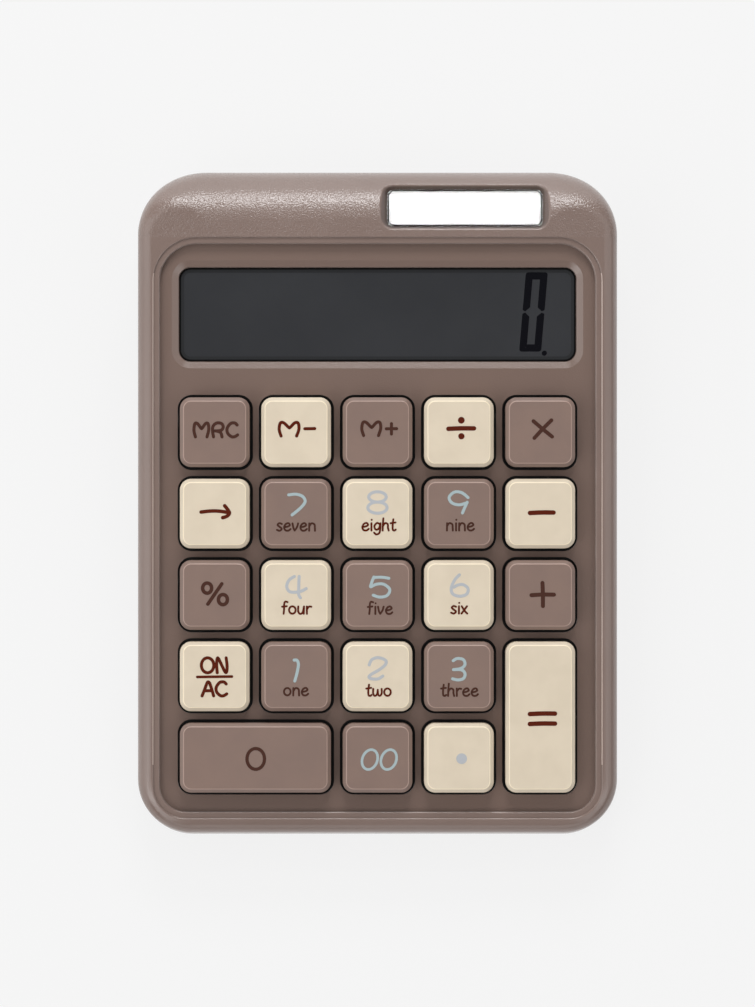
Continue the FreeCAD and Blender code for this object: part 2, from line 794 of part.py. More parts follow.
# Lower case, door, feet and screws
def make_door_blank(name, margin):
    """The door's section run out past the rear of the case, larger all round by a margin."""
    reach = f"Layout.door_half + ({margin})"
    plate = box(
        f"{name}_plate",
        "0",
        f"Layout.door_front - ({margin})",
        "0",
        f"2 * ({reach})",
        "2 * Layout.door_run",
        f"Layout.door_top + ({margin})",
        centred="x",
    )
    tongue = box(
        f"{name}_tongue",
        "0",
        f"Layout.door_front - ({margin})",
        f"Layout.door_top - Sizes.tongue_thickness - ({margin})",
        f"2 * ({reach} + Sizes.tongue_width)",
        "2 * Layout.door_run",
        f"Sizes.tongue_thickness + 2 * ({margin})",
        centred="x",
    )
    return fuse(name, [plate, tongue])


def make_lower_case():
    blank = outline_block("lower_prism", "0", "Sizes.foot_proud", "Sizes.parting_height")
    seam = break_edges("Part::Chamfer", "lower_seam", blank, size("parting_height"), size("seam_chamfer"))
    rounded = break_edges("Part::Fillet", "lower_round", seam, size("foot_proud"), size("bottom_round"))
    lip = outline_block("lip_prism", "Layout.lip_inset", "Sizes.parting_height", "Layout.lip_top")
    hollow = outline_block("lower_hollow", "Layout.lower_wall", "Layout.floor_top", "Layout.lip_top")
    notches = []
    posts = []
    holes = []
    for index, (x, y) in enumerate(case_screw_places()):
        room = "Sizes.boss_radius + Sizes.screw_clearance"
        notch = cylinder(f"lip_notch_{index}", room, "Sizes.lip_height")
        upright(notch, x, y, "Sizes.parting_height")
        notches.append(notch)
        post = cylinder(f"post_{index}", "Sizes.post_radius", "Sizes.parting_height - Layout.floor_top")
        upright(post, x, y, "Layout.floor_top")
        posts.append(post)
        bore = cylinder(f"bore_{index}", "Sizes.screw_radius + Sizes.screw_clearance", "Sizes.parting_height")
        upright(bore, x, y)
        head = cylinder(
            f"head_bore_{index}", "Sizes.screw_head_radius + Sizes.screw_clearance", "Sizes.screw_seat_height"
        )
        upright(head, x, y)
        holes += [bore, head]
    for index, (x, y) in enumerate(foot_places()):
        sink = cylinder(
            f"foot_sink_{index}",
            "Sizes.foot_radius + Sizes.foot_clearance",
            "Sizes.foot_proud + Sizes.foot_sunk",
        )
        upright(sink, x, y)
        holes.append(sink)
    bay = box(
        "bay_block",
        "0",
        "Layout.bay_y",
        "Sizes.foot_proud + Sizes.floor_thickness / 2",
        "Layout.bay_length + 2 * Sizes.bay_wall",
        "Layout.bay_width + 2 * Sizes.bay_wall",
        "Layout.bay_top - Sizes.foot_proud - Sizes.floor_thickness / 2",
        centred="xy",
    )
    bay_hollow = box(
        "bay_hollow",
        "0",
        "Layout.bay_y",
        "0",
        "Layout.bay_length",
        "Layout.bay_width",
        "Layout.bay_roof",
        centred="xy",
    )
    spring_shaft = box(
        "spring_shaft",
        "-Layout.bay_length / 2",
        "Layout.bay_y",
        "Layout.floor_top",
        "Sizes.spring_room",
        "Layout.bay_width",
        "Layout.bay_top",
        centred="y",
    )
    plate_shaft = box(
        "plate_shaft",
        "Layout.battery_end - Sizes.battery_nub_length",
        "Layout.bay_y",
        "Layout.floor_top",
        "Sizes.plate_room + Sizes.battery_nub_length",
        "Layout.bay_width",
        "Layout.bay_top",
        centred="y",
    )
    slot = make_door_blank("door_slot", "Sizes.door_clearance")
    tub = cut("lower_tub", fuse("lower_walls", [rounded, lip]), fuse("lower_room", [hollow, *notches]))
    solid = fuse("lower_solid", [tub, *posts, bay])
    holes += [bay_hollow, spring_shaft, plate_shaft, slot]
    keep("lower_case", cut("lower_case", solid, fuse("lower_holes", holes)))

    door = common("door_plate", [rounded, make_door_blank("door_blank", "0")])
    grooves = []
    for index in range(3):
        y = f"Layout.case_length / 2 - Sizes.bottom_round - Sizes.grip_width - {index} * Sizes.grip_pitch"
        groove = box(
            f"grip_{index}",
            "0",
            y,
            "Sizes.foot_proud - Sizes.grip_depth",
            "Sizes.grip_length",
            "Sizes.grip_width",
            "2 * Sizes.grip_depth",
            centred="x",
        )
        grooves.append(groove)
    keep("battery_door", cut("battery_door", door, fuse("door_grip", grooves)))


def foot_places():
    return (
        ("-Layout.foot_x", "Layout.front_foot_y"),
        ("Layout.foot_x", "Layout.front_foot_y"),
        ("-Layout.foot_x", "Layout.rear_foot_y"),
        ("Layout.foot_x", "Layout.rear_foot_y"),
    )


def make_feet():
    feet = []
    for index, (x, y) in enumerate(foot_places()):
        rim = doc.addObject("Part::Cone", f"foot_rim_{index}")
        bind(
            rim,
            Radius1="Sizes.foot_radius - Sizes.foot_chamfer",
            Radius2="Sizes.foot_radius",
            Height="Sizes.foot_chamfer",
        )
        upright(rim, x, y)
        pad_height = "Sizes.foot_proud + Sizes.foot_sunk - Sizes.foot_chamfer"
        disc = cylinder(f"foot_disc_{index}", "Sizes.foot_radius", pad_height)
        upright(disc, x, y, "Sizes.foot_chamfer")
        feet.append(fuse(f"foot_{index}", [rim, disc]))
    keep("rubber_feet", group("rubber_feet", feet))


def make_screw(name, place, head_radius, head_height, cross, radius, length):
    """A cross-head screw whose head hangs below its seat; place(item, drop) seats an item a drop below."""
    head = cylinder(f"{name}_head", head_radius, head_height)
    place(head, head_height)
    shank = cylinder(f"{name}_shank", radius, length)
    place(shank, "0")
    slots = []
    for turn in range(2):
        slot = doc.addObject("Part::Box", f"{name}_slot_{turn}")
        spans = (cross, "Sizes.screw_slot")
        across = spans[turn]
        along = spans[1 - turn]
        bind(slot, Length=across, Width=along, Height=f"{head_height} / 2")
        place(slot, head_height, across, along)
        slots.append(slot)
    return cut(name, fuse(f"{name}_blank", [head, shank]), fuse(f"{name}_cross", slots))


def make_screws():
    screws = []
    for index, (x, y) in enumerate(case_screw_places()):

        def seat(item, drop, across="0", along="0"):
            seat_z = f"Sizes.screw_seat_height - {drop}"
            upright(item, f"{x} - ({across}) / 2", f"{y} - ({along}) / 2", seat_z)

        length = "Sizes.parting_height - Sizes.screw_seat_height + Sizes.screw_grip"
        screws.append(
            make_screw(
                f"case_screw_{index}",
                seat,
                "Sizes.screw_head_radius",
                "Sizes.screw_head_height",
                "Sizes.screw_cross",
                "Sizes.screw_radius",
                length,
            )
        )
    keep("case_screws", group("case_screws", screws))

    screws = []
    for index, (u, v) in enumerate(board_screw_places()):

        def seat(item, drop, across="0", along="0"):
            seat_w = f"Layout.board_bottom - {drop}"
            on_deck(item, f"{u} - ({across}) / 2", f"{v} - ({along}) / 2", seat_w)

        screws.append(
            make_screw(
                f"board_screw_{index}",
                seat,
                "Sizes.board_screw_head_radius",
                "Sizes.board_screw_head_height",
                "Sizes.board_screw_cross",
                "Sizes.board_screw_radius",
                "Sizes.board_thickness + Sizes.board_screw_length",
            )
        )
    keep("board_screws", group("board_screws", screws))


# Keys
def make_key(label, column, row, columns, rows):
    body = doc.addObject("PartDesign::Body", label)
    u = f"{column + (columns - 1) / 2 - 2} * Sizes.key_pitch"
    v = f"Layout.first_row + {row + (rows - 1) / 2} * Sizes.key_pitch"
    wide = f"{columns - 1} * Sizes.key_pitch"
    long = f"{rows - 1} * Sizes.key_pitch"
    rounded_pad(
        body,
        f"{label}_flange",
        f"{wide} + Layout.flange_size",
        f"{long} + Layout.flange_size",
        "Sizes.key_corner + Sizes.key_clearance + Sizes.key_flange",
        "Layout.flange_bottom",
        "Sizes.key_flange_thickness",
    )
    rounded_pad(
        body,
        f"{label}_cap",
        f"{wide} + Sizes.key_size",
        f"{long} + Sizes.key_size",
        "Sizes.key_corner",
        "Layout.flange_bottom",
        "Sizes.key_rise - Layout.flange_bottom",
    )
    room = body_sketch(body, f"{label}_room_sketch")
    draw_rounded(
        room,
        f"{wide} + Sizes.key_size - 2 * Sizes.key_wall",
        f"{long} + Sizes.key_size - 2 * Sizes.key_wall",
        "Sizes.key_corner - Sizes.key_wall",
    )
    bind(room, **{"AttachmentOffset.Base.z": "Sizes.key_rise - Sizes.key_roof"})
    pocket(body, f"{label}_room", room)
    for index in range(columns * rows):
        stem = attached(body, "PartDesign::AdditiveCylinder", f"{label}_plunger_{index}")
        height = "Sizes.key_rise - Sizes.key_roof - Layout.plunger_bottom"
        bind(stem, Radius="Sizes.plunger_radius", Height=height)
        step = f"{index - (columns * rows - 1) / 2} * Sizes.key_pitch"
        shift = (step, "0") if columns > 1 else ("0", step)
        upright(stem, *shift, "Layout.plunger_bottom", path="AttachmentOffset")
    on_deck(body, u, v, "0")
    keep(label, body)


def bevel_key(label):
    body = nodes[label]
    cap = body.Tip
    bevel = body.newObject("PartDesign::Chamfer", f"{label}_bevel")
    bevel.Base = (cap, [f"Edge{index}" for index in edges_at(cap, size("key_rise"))])
    bind(bevel, Size="Sizes.key_bevel")


def soften_key(label):
    body = nodes[label]
    bevel = body.Tip
    soft = body.newObject("PartDesign::Fillet", f"{label}_soft_edge")
    rims = edges_at(bevel, size("key_rise")) + edges_at(bevel, size("key_rise") - size("key_bevel"))
    soft.Base = (bevel, [f"Edge{index}" for index in rims])
    bind(soft, Radius="Sizes.key_edge_round")


def make_keys():
    for label, cells in KEYS.items():
        make_key(label, *cells)
    doc.recompute()
    for label in KEYS:
        bevel_key(label)
    doc.recompute()
    for label in KEYS:
        soften_key(label)


# Display
def make_display():
    window = doc.addObject("PartDesign::Body", "display_window")
    rounded_pad(
        window,
        "window_plate",
        "Layout.display_width - 2 * Sizes.window_clearance",
        "Sizes.display_length - 2 * Sizes.window_clearance",
        "Sizes.display_corner - Sizes.window_clearance",
        "Layout.window_seat",
        "Sizes.window_thickness",
    )
    on_deck(window, v="Layout.display_v")
    keep("display_window", window)

    glass = fuse(
        "lcd_panel",
        [
            deck_box("front_glass", "Layout.glass_width", "Layout.glass_front_length", 1),
            deck_box("rear_glass", "Layout.glass_width", "Layout.glass_length", 2),
        ],
    )
    keep("lcd_panel", glass)

    carrier = doc.addObject("PartDesign::Body", "lcd_frame")
    ring = body_sketch(carrier, "carrier_sketch")
    draw_rectangle(ring, "Layout.carrier_width", "Layout.carrier_length")
    bind(ring, **{"AttachmentOffset.Base.z": "Layout.board_top"})
    pad(carrier, "carrier_block", ring, "-Sizes.deck_thickness - Layout.board_top")
    room = body_sketch(carrier, "carrier_room_sketch")
    draw_rectangle(room, "Layout.carrier_inner_width", "Layout.carrier_inner_length")
    pocket(carrier, "carrier_room", room)
    on_deck(carrier, v="Layout.display_v")
    keep("lcd_frame", carrier)

    strips = []
    for name, side in (("front", "-"), ("rear", "+")):
        strip = doc.addObject("Part::Box", f"strip_{name}")
        ledge = "-Sizes.deck_thickness - Sizes.glass_thickness"
        length = "Layout.glass_width - 2 * Sizes.strip_inset"
        bind(strip, Length=length, Width="Sizes.strip_width", Height=f"{ledge} - Layout.board_top")
        middle = f"Layout.display_v {side} (Layout.glass_length + Sizes.glass_ledge) / 2"
        on_deck(strip, f"-({length}) / 2", f"{middle} - Sizes.strip_width / 2", "Layout.board_top")
        strips.append(strip)
    keep("lcd_connector", group("lcd_connector", strips))


def deck_box(name, width, length, layer):
    """A sheet of display glass, the given number of layers below the deck."""
    item = doc.addObject("Part::Box", name)
    bind(item, Length=width, Width=length, Height="Sizes.glass_thickness")
    depth = f"-Sizes.deck_thickness - {layer} * Sizes.glass_thickness"
    on_deck(item, f"-({width}) / 2", f"Layout.display_v - ({length}) / 2", depth)
    return item


# Solar cell
def solar_place(item, u, along, rise, path="Placement"):
    """Put an item on the tilted bed of the solar cell: along its slope and above its floor."""
    turn = "Sizes.solar_tilt * 1deg"
    v = f"Layout.solar_v + ({along}) * cos({turn}) + ({rise}) * sin({turn})"
    w = f"-Sizes.solar_sink - ({along}) * sin({turn}) + ({rise}) * cos({turn})"
    on_deck(item, f"Sizes.solar_offset + ({u})", v, w, "Sizes.solar_tilt", path)


def make_solar():
    window = doc.addObject("PartDesign::Body", "solar_window")
    rounded_pad(
        window,
        "solar_plate",
        "Sizes.solar_width",
        "Sizes.solar_length",
        "Sizes.solar_corner - Sizes.solar_clearance",
        "-Sizes.solar_window_thickness",
        "Sizes.solar_window_thickness",
    )
    solar_place(window, "0", "0", "0")
    keep("solar_window", window)

    cell = doc.addObject("Part::Box", "solar_cell")
    width = "Sizes.solar_width - 2 * Sizes.solar_lip"
    length = "Sizes.solar_length - 2 * Sizes.solar_lip"
    bind(cell, Length=width, Width=length, Height="Sizes.solar_cell_thickness")
    solar_place(
        cell,
        f"-({width}) / 2",
        f"-({length}) / 2",
        "-Sizes.solar_window_thickness - Sizes.solar_cell_thickness",
    )
    keep("solar_cell", cell)


# Board, membrane and what they carry
def make_board():
    body = doc.addObject("PartDesign::Body", "main_board")
    sheet = body_sketch(body, "board_sketch")
    draw_rectangle(sheet, "Layout.board_width", "Layout.board_rear - Layout.board_front")
    middle = "(Layout.board_front + Layout.board_rear) / 2"
    upright(sheet, "0", middle, "Layout.board_bottom", "AttachmentOffset")
    pad(body, "board_sheet", sheet, "Sizes.board_thickness")
    for index, (u, v) in enumerate(board_screw_places()):
        hole = attached(body, "PartDesign::SubtractiveCylinder", f"board_hole_{index}")
        bind(hole, Radius="Sizes.board_screw_radius + Sizes.screw_clearance", Height="Sizes.board_thickness")
        upright(hole, u, v, "Layout.board_bottom", path="AttachmentOffset")
    on_deck(body)
    keep("main_board", body)

    blob = doc.addObject("Part::Sphere", "controller_blob")
    ball = "(Sizes.blob_radius ^ 2 + Sizes.blob_height ^ 2) / (2 * Sizes.blob_height)"
    bind(blob, Radius=ball, Angle1=f"asin(({ball} - Sizes.blob_height) / ({ball}))")
    under_keys = "Layout.first_row + 2.5 * Sizes.key_pitch"
    on_deck(blob, "0", under_keys, f"Layout.board_bottom + {ball} - Sizes.blob_height", "180")
    keep("controller_blob", blob)

    cans = []
    for index, side in enumerate(("-", "")):
        can = cylinder(f"capacitor_{index}", "Sizes.capacitor_radius", "Sizes.capacitor_height")
        v = "Layout.board_rear - Sizes.capacitor_inset"
        on_deck(can, f"{side}Sizes.capacitor_spread", v, "Layout.board_bottom - Sizes.capacitor_height")
        cans.append(can)
    keep("board_capacitors", group("board_capacitors", cans))


def make_membrane():
    body = doc.addObject("PartDesign::Body", "keypad_membrane")
    sheet = body_sketch(body, "membrane_sketch")
    width = "Layout.block_width + 2 * Sizes.membrane_margin"
    draw_rectangle(sheet, width, "Layout.block_width - 2 * Sizes.board_front_gap")
    upright(sheet, "0", "Layout.block_front + Layout.block_width / 2", "Layout.board_top", "AttachmentOffset")
    pad(body, "membrane_sheet", sheet, "Sizes.membrane_thickness")
    cell = body_sketch(body, "dome_sketch")
    upright(cell, "-2 * Sizes.key_pitch", "Layout.first_row", "Layout.board_top", "AttachmentOffset")
    draw_rectangle(cell, "Sizes.key_pitch", "Sizes.key_pitch")
    roof = "Sizes.membrane_thickness + Layout.dome_height"
    cones = (
        ("dome", "PartDesign::AdditiveCone", "0", roof),
        ("dome_hollow", "PartDesign::SubtractiveCone", "Sizes.dome_wall", f"{roof} - Sizes.dome_roof"),
    )
    features = []
    for name, kind, inset, height in cones:
        cone = attached(body, kind, name)
        bind(
            cone,
            Radius1=f"Sizes.dome_base_radius - {inset}",
            Radius2=f"Sizes.dome_top_radius - {inset}",
            Height=height,
        )
        upright(cone, "-2 * Sizes.key_pitch", "Layout.first_row", "Layout.board_top", "AttachmentOffset")
        features.append(cone)
        doc.recompute()
    grid_pattern(body, "domes", cell, features)
    on_deck(body)
    keep("keypad_membrane", body)

    pills = []
    for index in range(KEY_COLUMNS * KEY_ROWS):
        row, column = divmod(index, KEY_COLUMNS)
        pill = cylinder(f"pill_{index}", "Sizes.pill_radius", "Sizes.pill_thickness")
        on_deck(
            pill,
            f"{column - 2} * Sizes.key_pitch",
            f"Layout.first_row + {row} * Sizes.key_pitch",
            "Layout.dome_top - Sizes.dome_roof - Sizes.pill_thickness",
        )
        pills.append(pill)
    keep("contact_pills", group("contact_pills", pills))


# Battery and its contacts
def along_x(item, x, y, z):
    """Turn an item's own Z axis along +X."""
    item.Placement = Placement(Vector(), Rotation(Vector(0, 1, 0), 90))
    upright(item, x, y, z)


def make_battery():
    can = cylinder("battery_can", "Sizes.battery_radius", "Sizes.battery_length - Sizes.battery_nub_length")
    along_x(can, "Layout.battery_start", "Layout.bay_y", "Layout.battery_z")
    nub = cylinder("battery_nub", "Sizes.battery_nub_radius", "Sizes.battery_nub_length")
    along_x(nub, "Layout.battery_end - Sizes.battery_nub_length", "Layout.bay_y", "Layout.battery_z")
    keep("battery_cell", fuse("battery_cell", [can, nub]))

    def contact(name, x):
        height = "Layout.bay_top - Layout.floor_top"
        plate = box(
            f"{name}_face",
            x,
            "Layout.bay_y",
            "Layout.floor_top",
            "Sizes.contact_thickness",
            "Sizes.contact_width",
            height,
            centred="y",
        )
        tab = box(
            f"{name}_tab",
            x,
            "Layout.bay_y",
            "Layout.bay_top",
            "Sizes.contact_thickness",
            "Sizes.contact_tab_width",
            "Sizes.contact_rise",
            centred="y",
        )
        return [plate, tab]

    plate_x = "Layout.bay_length / 2 - Sizes.contact_thickness"
    keep("battery_contact_plate", fuse("battery_contact_plate", contact("positive", plate_x)))

    leaf = doc.addObject("Part::Feature", "spring_leaf")
    leaf.Shape = leaf_spring()
    keep("battery_spring", fuse("battery_spring", [*contact("negative", "-Layout.bay_length / 2"), leaf]))


def leaf_spring():
    """A strip that leaves the contact's top, leans out to press on the cell and turns back to the contact."""
    root = -worked("bay_length") / 2 + size("contact_thickness")
    crest = worked("battery_start") - size("contact_gap")
    thick = size("contact_thickness")
    middle = worked("battery_z")
    reach = size("leaf_reach")
    fold = size("leaf_fold")
    front = worked("bay_y") - size("contact_width") / 2
    outer = ((root, middle + reach), (crest, middle), (root + thick, middle - reach))
    inner = ((root + thick, middle - reach + fold), (crest - fold, middle), (root, middle + reach - fold))
    points = [Vector(x, front, z) for x, z in outer + inner]
    strip = Part.Face(Part.makePolygon(points + points[:1]))
    return strip.extrude(Vector(0, size("contact_width"), 0))


# Leads
def wire_path(points, bend):
    """Straight runs joined by tangent arcs."""
    edges = []
    last = points[0]
    for before, corner, after in zip(points, points[1:], points[2:]):
        back = (before - corner).normalize()
        ahead = (after - corner).normalize()
        turn = math.pi - back.getAngle(ahead)
        reach = bend * math.tan(turn / 2)
        start = corner + back * reach
        end = corner + ahead * reach
        middle = (back + ahead).normalize()
        summit = corner + middle * (bend / math.cos(turn / 2) - bend)
        edges.append(Part.LineSegment(last, start).toShape())
        edges.append(Part.Arc(start, summit, end).toShape())
        last = end
    edges.append(Part.LineSegment(last, points[-1]).toShape())
    return Part.Wire(edges)


def make_lead(label, points):
    path = wire_path(points, size("lead_bend"))
    radius = size("lead_radius")
    section = Part.Wire(Part.makeCircle(radius, points[0], points[1] - points[0]))
    shape = path.makePipeShell([section], True, False)
    expected = math.pi * radius ** 2 * path.Length
    print(f"{label}: volume {shape.Volume:.3f}, section times length {expected:.3f}")
    lead = doc.addObject("Part::Feature", label)
    lead.Shape = shape
    keep(label, lead)


def make_leads():
    pad_v = worked("board_rear") - size("board_tail") / 2
    rise = size("lead_rise")
    thick = size("contact_thickness")
    bay_end = worked("bay_length") / 2 - thick / 2
    tab_top = worked("bay_top") + size("contact_rise")
    for label, x in (("battery_lead_positive", bay_end), ("battery_lead_negative", -bay_end)):
        landing = deck_point(x, pad_v, worked("board_top"))
        lift = deck_point(x, pad_v, worked("board_top") + rise)
        tab = Vector(x, worked("bay_y"), tab_top)
        crest = Vector(x, worked("bay_y"), lift.z)
        make_lead(label, [tab, crest, lift, landing])

    lean = math.radians(size("solar_tilt"))
    drop = size("solar_window_thickness") + size("solar_cell_thickness")
    for label, side in (("solar_lead_positive", 1), ("solar_lead_negative", -1)):
        u = size("solar_offset") + side * size("solar_lead_spread")
        hang = []
        for depth in (drop, drop + rise):
            v = worked("solar_v") - depth * math.sin(lean)
            w = -size("solar_sink") - depth * math.cos(lean)
            hang.append(deck_point(u, v, w))
        landing = deck_point(u, pad_v, worked("board_top"))
        lift = deck_point(u, pad_v, worked("board_top") + rise)
        make_lead(label, [*hang, lift, landing])


make_upper_case()
make_lower_case()
make_feet()
make_screws()
make_keys()
make_display()
make_solar()
make_board()
make_membrane()
make_battery()
make_leads()
doc.recompute()

for item in doc.Objects:
    if "Invalid" in item.State or "Error" in item.State:
        raise RuntimeError(f"{item.Label} failed: {item.State}")
for label, item in nodes.items():
    if item.Shape.isNull() or not item.Shape.isValid() or not item.Shape.Solids:
        raise RuntimeError(f"{label} has no sound shape")

os.makedirs("parts", exist_ok=True)
for label, item in nodes.items():
    item.Shape.exportStep(f"parts/{label}.step")
print(f"{len(nodes)} nodes written")
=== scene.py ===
import json
import math

import bmesh
import bpy
from mathutils import Matrix, Vector


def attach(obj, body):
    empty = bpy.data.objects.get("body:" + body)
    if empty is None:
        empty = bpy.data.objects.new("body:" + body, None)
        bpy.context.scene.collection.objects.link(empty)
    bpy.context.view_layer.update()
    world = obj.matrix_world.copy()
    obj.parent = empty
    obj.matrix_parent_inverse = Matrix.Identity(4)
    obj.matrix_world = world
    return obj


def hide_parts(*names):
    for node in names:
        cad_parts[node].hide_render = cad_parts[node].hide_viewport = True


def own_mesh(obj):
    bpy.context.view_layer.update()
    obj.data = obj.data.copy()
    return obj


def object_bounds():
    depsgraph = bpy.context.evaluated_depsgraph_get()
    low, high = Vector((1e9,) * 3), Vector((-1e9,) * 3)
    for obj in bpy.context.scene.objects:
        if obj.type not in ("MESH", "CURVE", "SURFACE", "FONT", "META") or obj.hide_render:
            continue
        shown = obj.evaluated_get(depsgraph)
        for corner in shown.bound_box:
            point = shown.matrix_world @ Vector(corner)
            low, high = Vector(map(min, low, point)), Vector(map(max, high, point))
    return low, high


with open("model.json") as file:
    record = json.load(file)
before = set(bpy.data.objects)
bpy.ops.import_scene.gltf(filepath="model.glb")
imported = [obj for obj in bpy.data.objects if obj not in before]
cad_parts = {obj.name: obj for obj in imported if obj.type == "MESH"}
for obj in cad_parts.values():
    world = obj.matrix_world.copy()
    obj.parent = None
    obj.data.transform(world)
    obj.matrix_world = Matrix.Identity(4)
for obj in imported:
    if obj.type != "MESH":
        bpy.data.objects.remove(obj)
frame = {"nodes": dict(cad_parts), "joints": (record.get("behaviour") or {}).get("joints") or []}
cad_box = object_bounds()
nodes = frame["nodes"]
joints = {joint["name"]: joint for joint in frame["joints"]}
keys = [name for name in nodes if name.startswith("key_")]

MM = 0.001

# The deck leans back to front. Its axes are right, back and up off the face, and up is the way a key rises.
up = -Vector(joints["key_7_press"]["axis"])
right = Vector((1, 0, 0))
back = up.cross(right)
deck = Matrix((right, back, up)).transposed().to_4x4()


def span(name, axes):
    """Lowest and highest corner of a CAD node along a plane's axes, in metres from the frame's origin."""
    to_axes = axes.inverted()
    points = [to_axes @ vertex.co for vertex in nodes[name].data.vertices]
    low = Vector([min(point[axis] for point in points) for axis in range(3)])
    high = Vector([max(point[axis] for point in points) for axis in range(3)])
    return low, high


def deck_span(name):
    """Lowest and highest corner of a CAD node along the deck's axes."""
    return span(name, deck)


# The solar plate leans back more than the deck and has axes of its own.
plate_face = max(nodes["solar_window"].data.polygons, key=lambda face: face.area)
plate_up = plate_face.normal * math.copysign(1, plate_face.normal.z)
plate_back = plate_up.cross(right)
plate_axes = Matrix((right, plate_back, plate_up)).transposed().to_4x4()
plate_low, plate_high = span("solar_window", plate_axes)


# Materials

def tint(red, green, blue):
    """A colour given as it shows on a screen, from 0 to 255, in the linear values a shader takes."""
    def linear(value):
        value /= 255
        return value / 12.92 if value <= 0.04045 else ((value + 0.055) / 1.055) ** 2.4
    return linear(red), linear(green), linear(blue), 1.0


def surface(name, colour, roughness, **sockets):
    """A material with one shader, its colour and roughness set, and any other sockets by name."""
    material = bpy.data.materials.new(name)
    material.use_nodes = True
    shader = material.node_tree.nodes["Principled BSDF"]
    shader.inputs["Base Color"].default_value = colour
    shader.inputs["Roughness"].default_value = roughness
    for socket, value in sockets.items():
        shader.inputs[socket.replace("_", " ").title().replace("Ior", "IOR")].default_value = value
    return material


def noise(material, size, detail):
    """A noise texture fixed to the piece, with bumps of about that size in metres."""
    tree = material.node_tree
    place = tree.nodes.new("ShaderNodeTexCoord")
    texture = tree.nodes.new("ShaderNodeTexNoise")
    texture.inputs["Scale"].default_value = 1 / size
    texture.inputs["Detail"].default_value = detail
    tree.links.new(place.outputs["Object"], texture.inputs["Vector"])
    return texture


def grain(material, size, depth, detail=2.0):
    """Moulded grain: bumps of that size and depth in metres."""
    tree = material.node_tree
    bump = tree.nodes.new("ShaderNodeBump")
    bump.inputs["Distance"].default_value = depth
    tree.links.new(noise(material, size, detail).outputs["Fac"], bump.inputs["Height"])
    tree.links.new(bump.outputs["Normal"], tree.nodes["Principled BSDF"].inputs["Normal"])
    return bump


DARK_BELOW = 0.35
LIGHT_ABOVE = 0.65
MOTTLE_DETAIL = 3.0


def mottle(material, dark, light, size):
    """Lets the colour drift between two close tones over patches of that size in metres."""
    tree = material.node_tree
    ramp = tree.nodes.new("ShaderNodeValToRGB")
    ramp.color_ramp.elements[0].position = DARK_BELOW
    ramp.color_ramp.elements[0].color = dark
    ramp.color_ramp.elements[1].position = LIGHT_ABOVE
    ramp.color_ramp.elements[1].color = light
    tree.links.new(noise(material, size, MOTTLE_DETAIL).outputs["Fac"], ramp.inputs["Fac"])
    tree.links.new(ramp.outputs["Color"], tree.nodes["Principled BSDF"].inputs["Base Color"])


def band(material, axis, low, high):
    """One between two places along an axis, in metres from the frame's origin, and nought elsewhere."""
    tree = material.node_tree
    place = tree.nodes.new("ShaderNodeTexCoord")
    along = tree.nodes.new("ShaderNodeVectorMath")
    along.operation = "DOT_PRODUCT"
    along.inputs[1].default_value = axis
    tree.links.new(place.outputs["Object"], along.inputs[0])
    near = tree.nodes.new("ShaderNodeMath")
    near.operation = "COMPARE"
    near.inputs[1].default_value = (low + high) / 2
    near.inputs[2].default_value = (high - low) / 2
    tree.links.new(along.outputs["Value"], near.inputs[0])
    return near.outputs["Value"]


def meet(material, *bands):
    """One where all of the bands meet, else nought."""
    tree = material.node_tree
    mask = bands[0]
    for other in bands[1:]:
        both = tree.nodes.new("ShaderNodeMath")
        both.operation = "MULTIPLY"
        tree.links.new(mask, both.inputs[0])
        tree.links.new(other, both.inputs[1])
        mask = both.outputs["Value"]
    return mask


def recolour(material, colour, mask):
    """Gives a material that colour where the mask is one."""
    tree = material.node_tree
    socket = tree.nodes["Principled BSDF"].inputs["Base Color"]
    mix = tree.nodes.new("ShaderNodeMix")
    mix.data_type = "RGBA"
    mix.inputs["B"].default_value = colour
    tree.links.new(mask, mix.inputs["Factor"])
    tree.links.new(socket.links[0].from_socket, mix.inputs["A"])
    tree.links.new(mix.outputs["Result"], socket)


# A key's top over the deck, and how far below that top the paler line of painted highlight lies.
KEY_RISE = 5.2 * MM
HIGHLIGHT_LINE_DROP = 0.1 * MM
FACE_SLACK = 0.004 * MM
# A place under everything, along the deck's upward axis.
BELOW_ALL = -100 * MM
# How far below and above its top the deck is dark, and the foot and top of the step over it, which is painted
# pale as a highlight.
DECK_THICKNESS = 4.0 * MM
WALL_RISE = 1.0 * MM
STEP_FOOT = 1.74 * MM
STEP_TOP = 2.17 * MM
# Distances in from the sides, the front and the rear of the case.
SIDE_RIM = 2.8 * MM
FRONT_RIM = 3 * MM
REAR_RIM = 12 * MM
STEP_FROM_FRONT = 15 * MM
STEP_FROM_REAR = 24 * MM
BOLSTER_DEPTH = 16 * MM
# How far round and above the solar plate the walls of its recess lie, which are painted darker as shade.
RECESS_REACH = 1.0 * MM
RECESS_RISE = 0.9 * MM
# Strengths of the grain.
PLAIN_GRAIN = 0.2
BOLSTER_GRAIN = 1.0

rearward = Vector((0, 1, 0))
key_top = deck_span("key_5")[1].z
deck_top = key_top - KEY_RISE
(case_left, case_front, _), (case_right, case_rear, _) = cad_box


def key_plastic(name, dark, light, edge):
    """Satin plastic of two close tones, with a paler line round the face as a painted highlight, and
    everything below the deck's top painted near black as painted shade down the gap round the key.
    """
    material = surface(name, light, 0.32)
    mottle(material, dark, light, 6 * MM)
    grain(material, 0.3 * MM, 0.004 * MM)
    # The paler line just under the top of the face is a painted highlight.
    recolour(material, edge, band(material, up, key_top - HIGHLIGHT_LINE_DROP, key_top - FACE_SLACK))
    # Below the deck's top the key is painted near black: painted shade in the gap round it.
    recolour(material, tint(6, 5, 5), band(material, up, BELOW_ALL, deck_top))
    return material
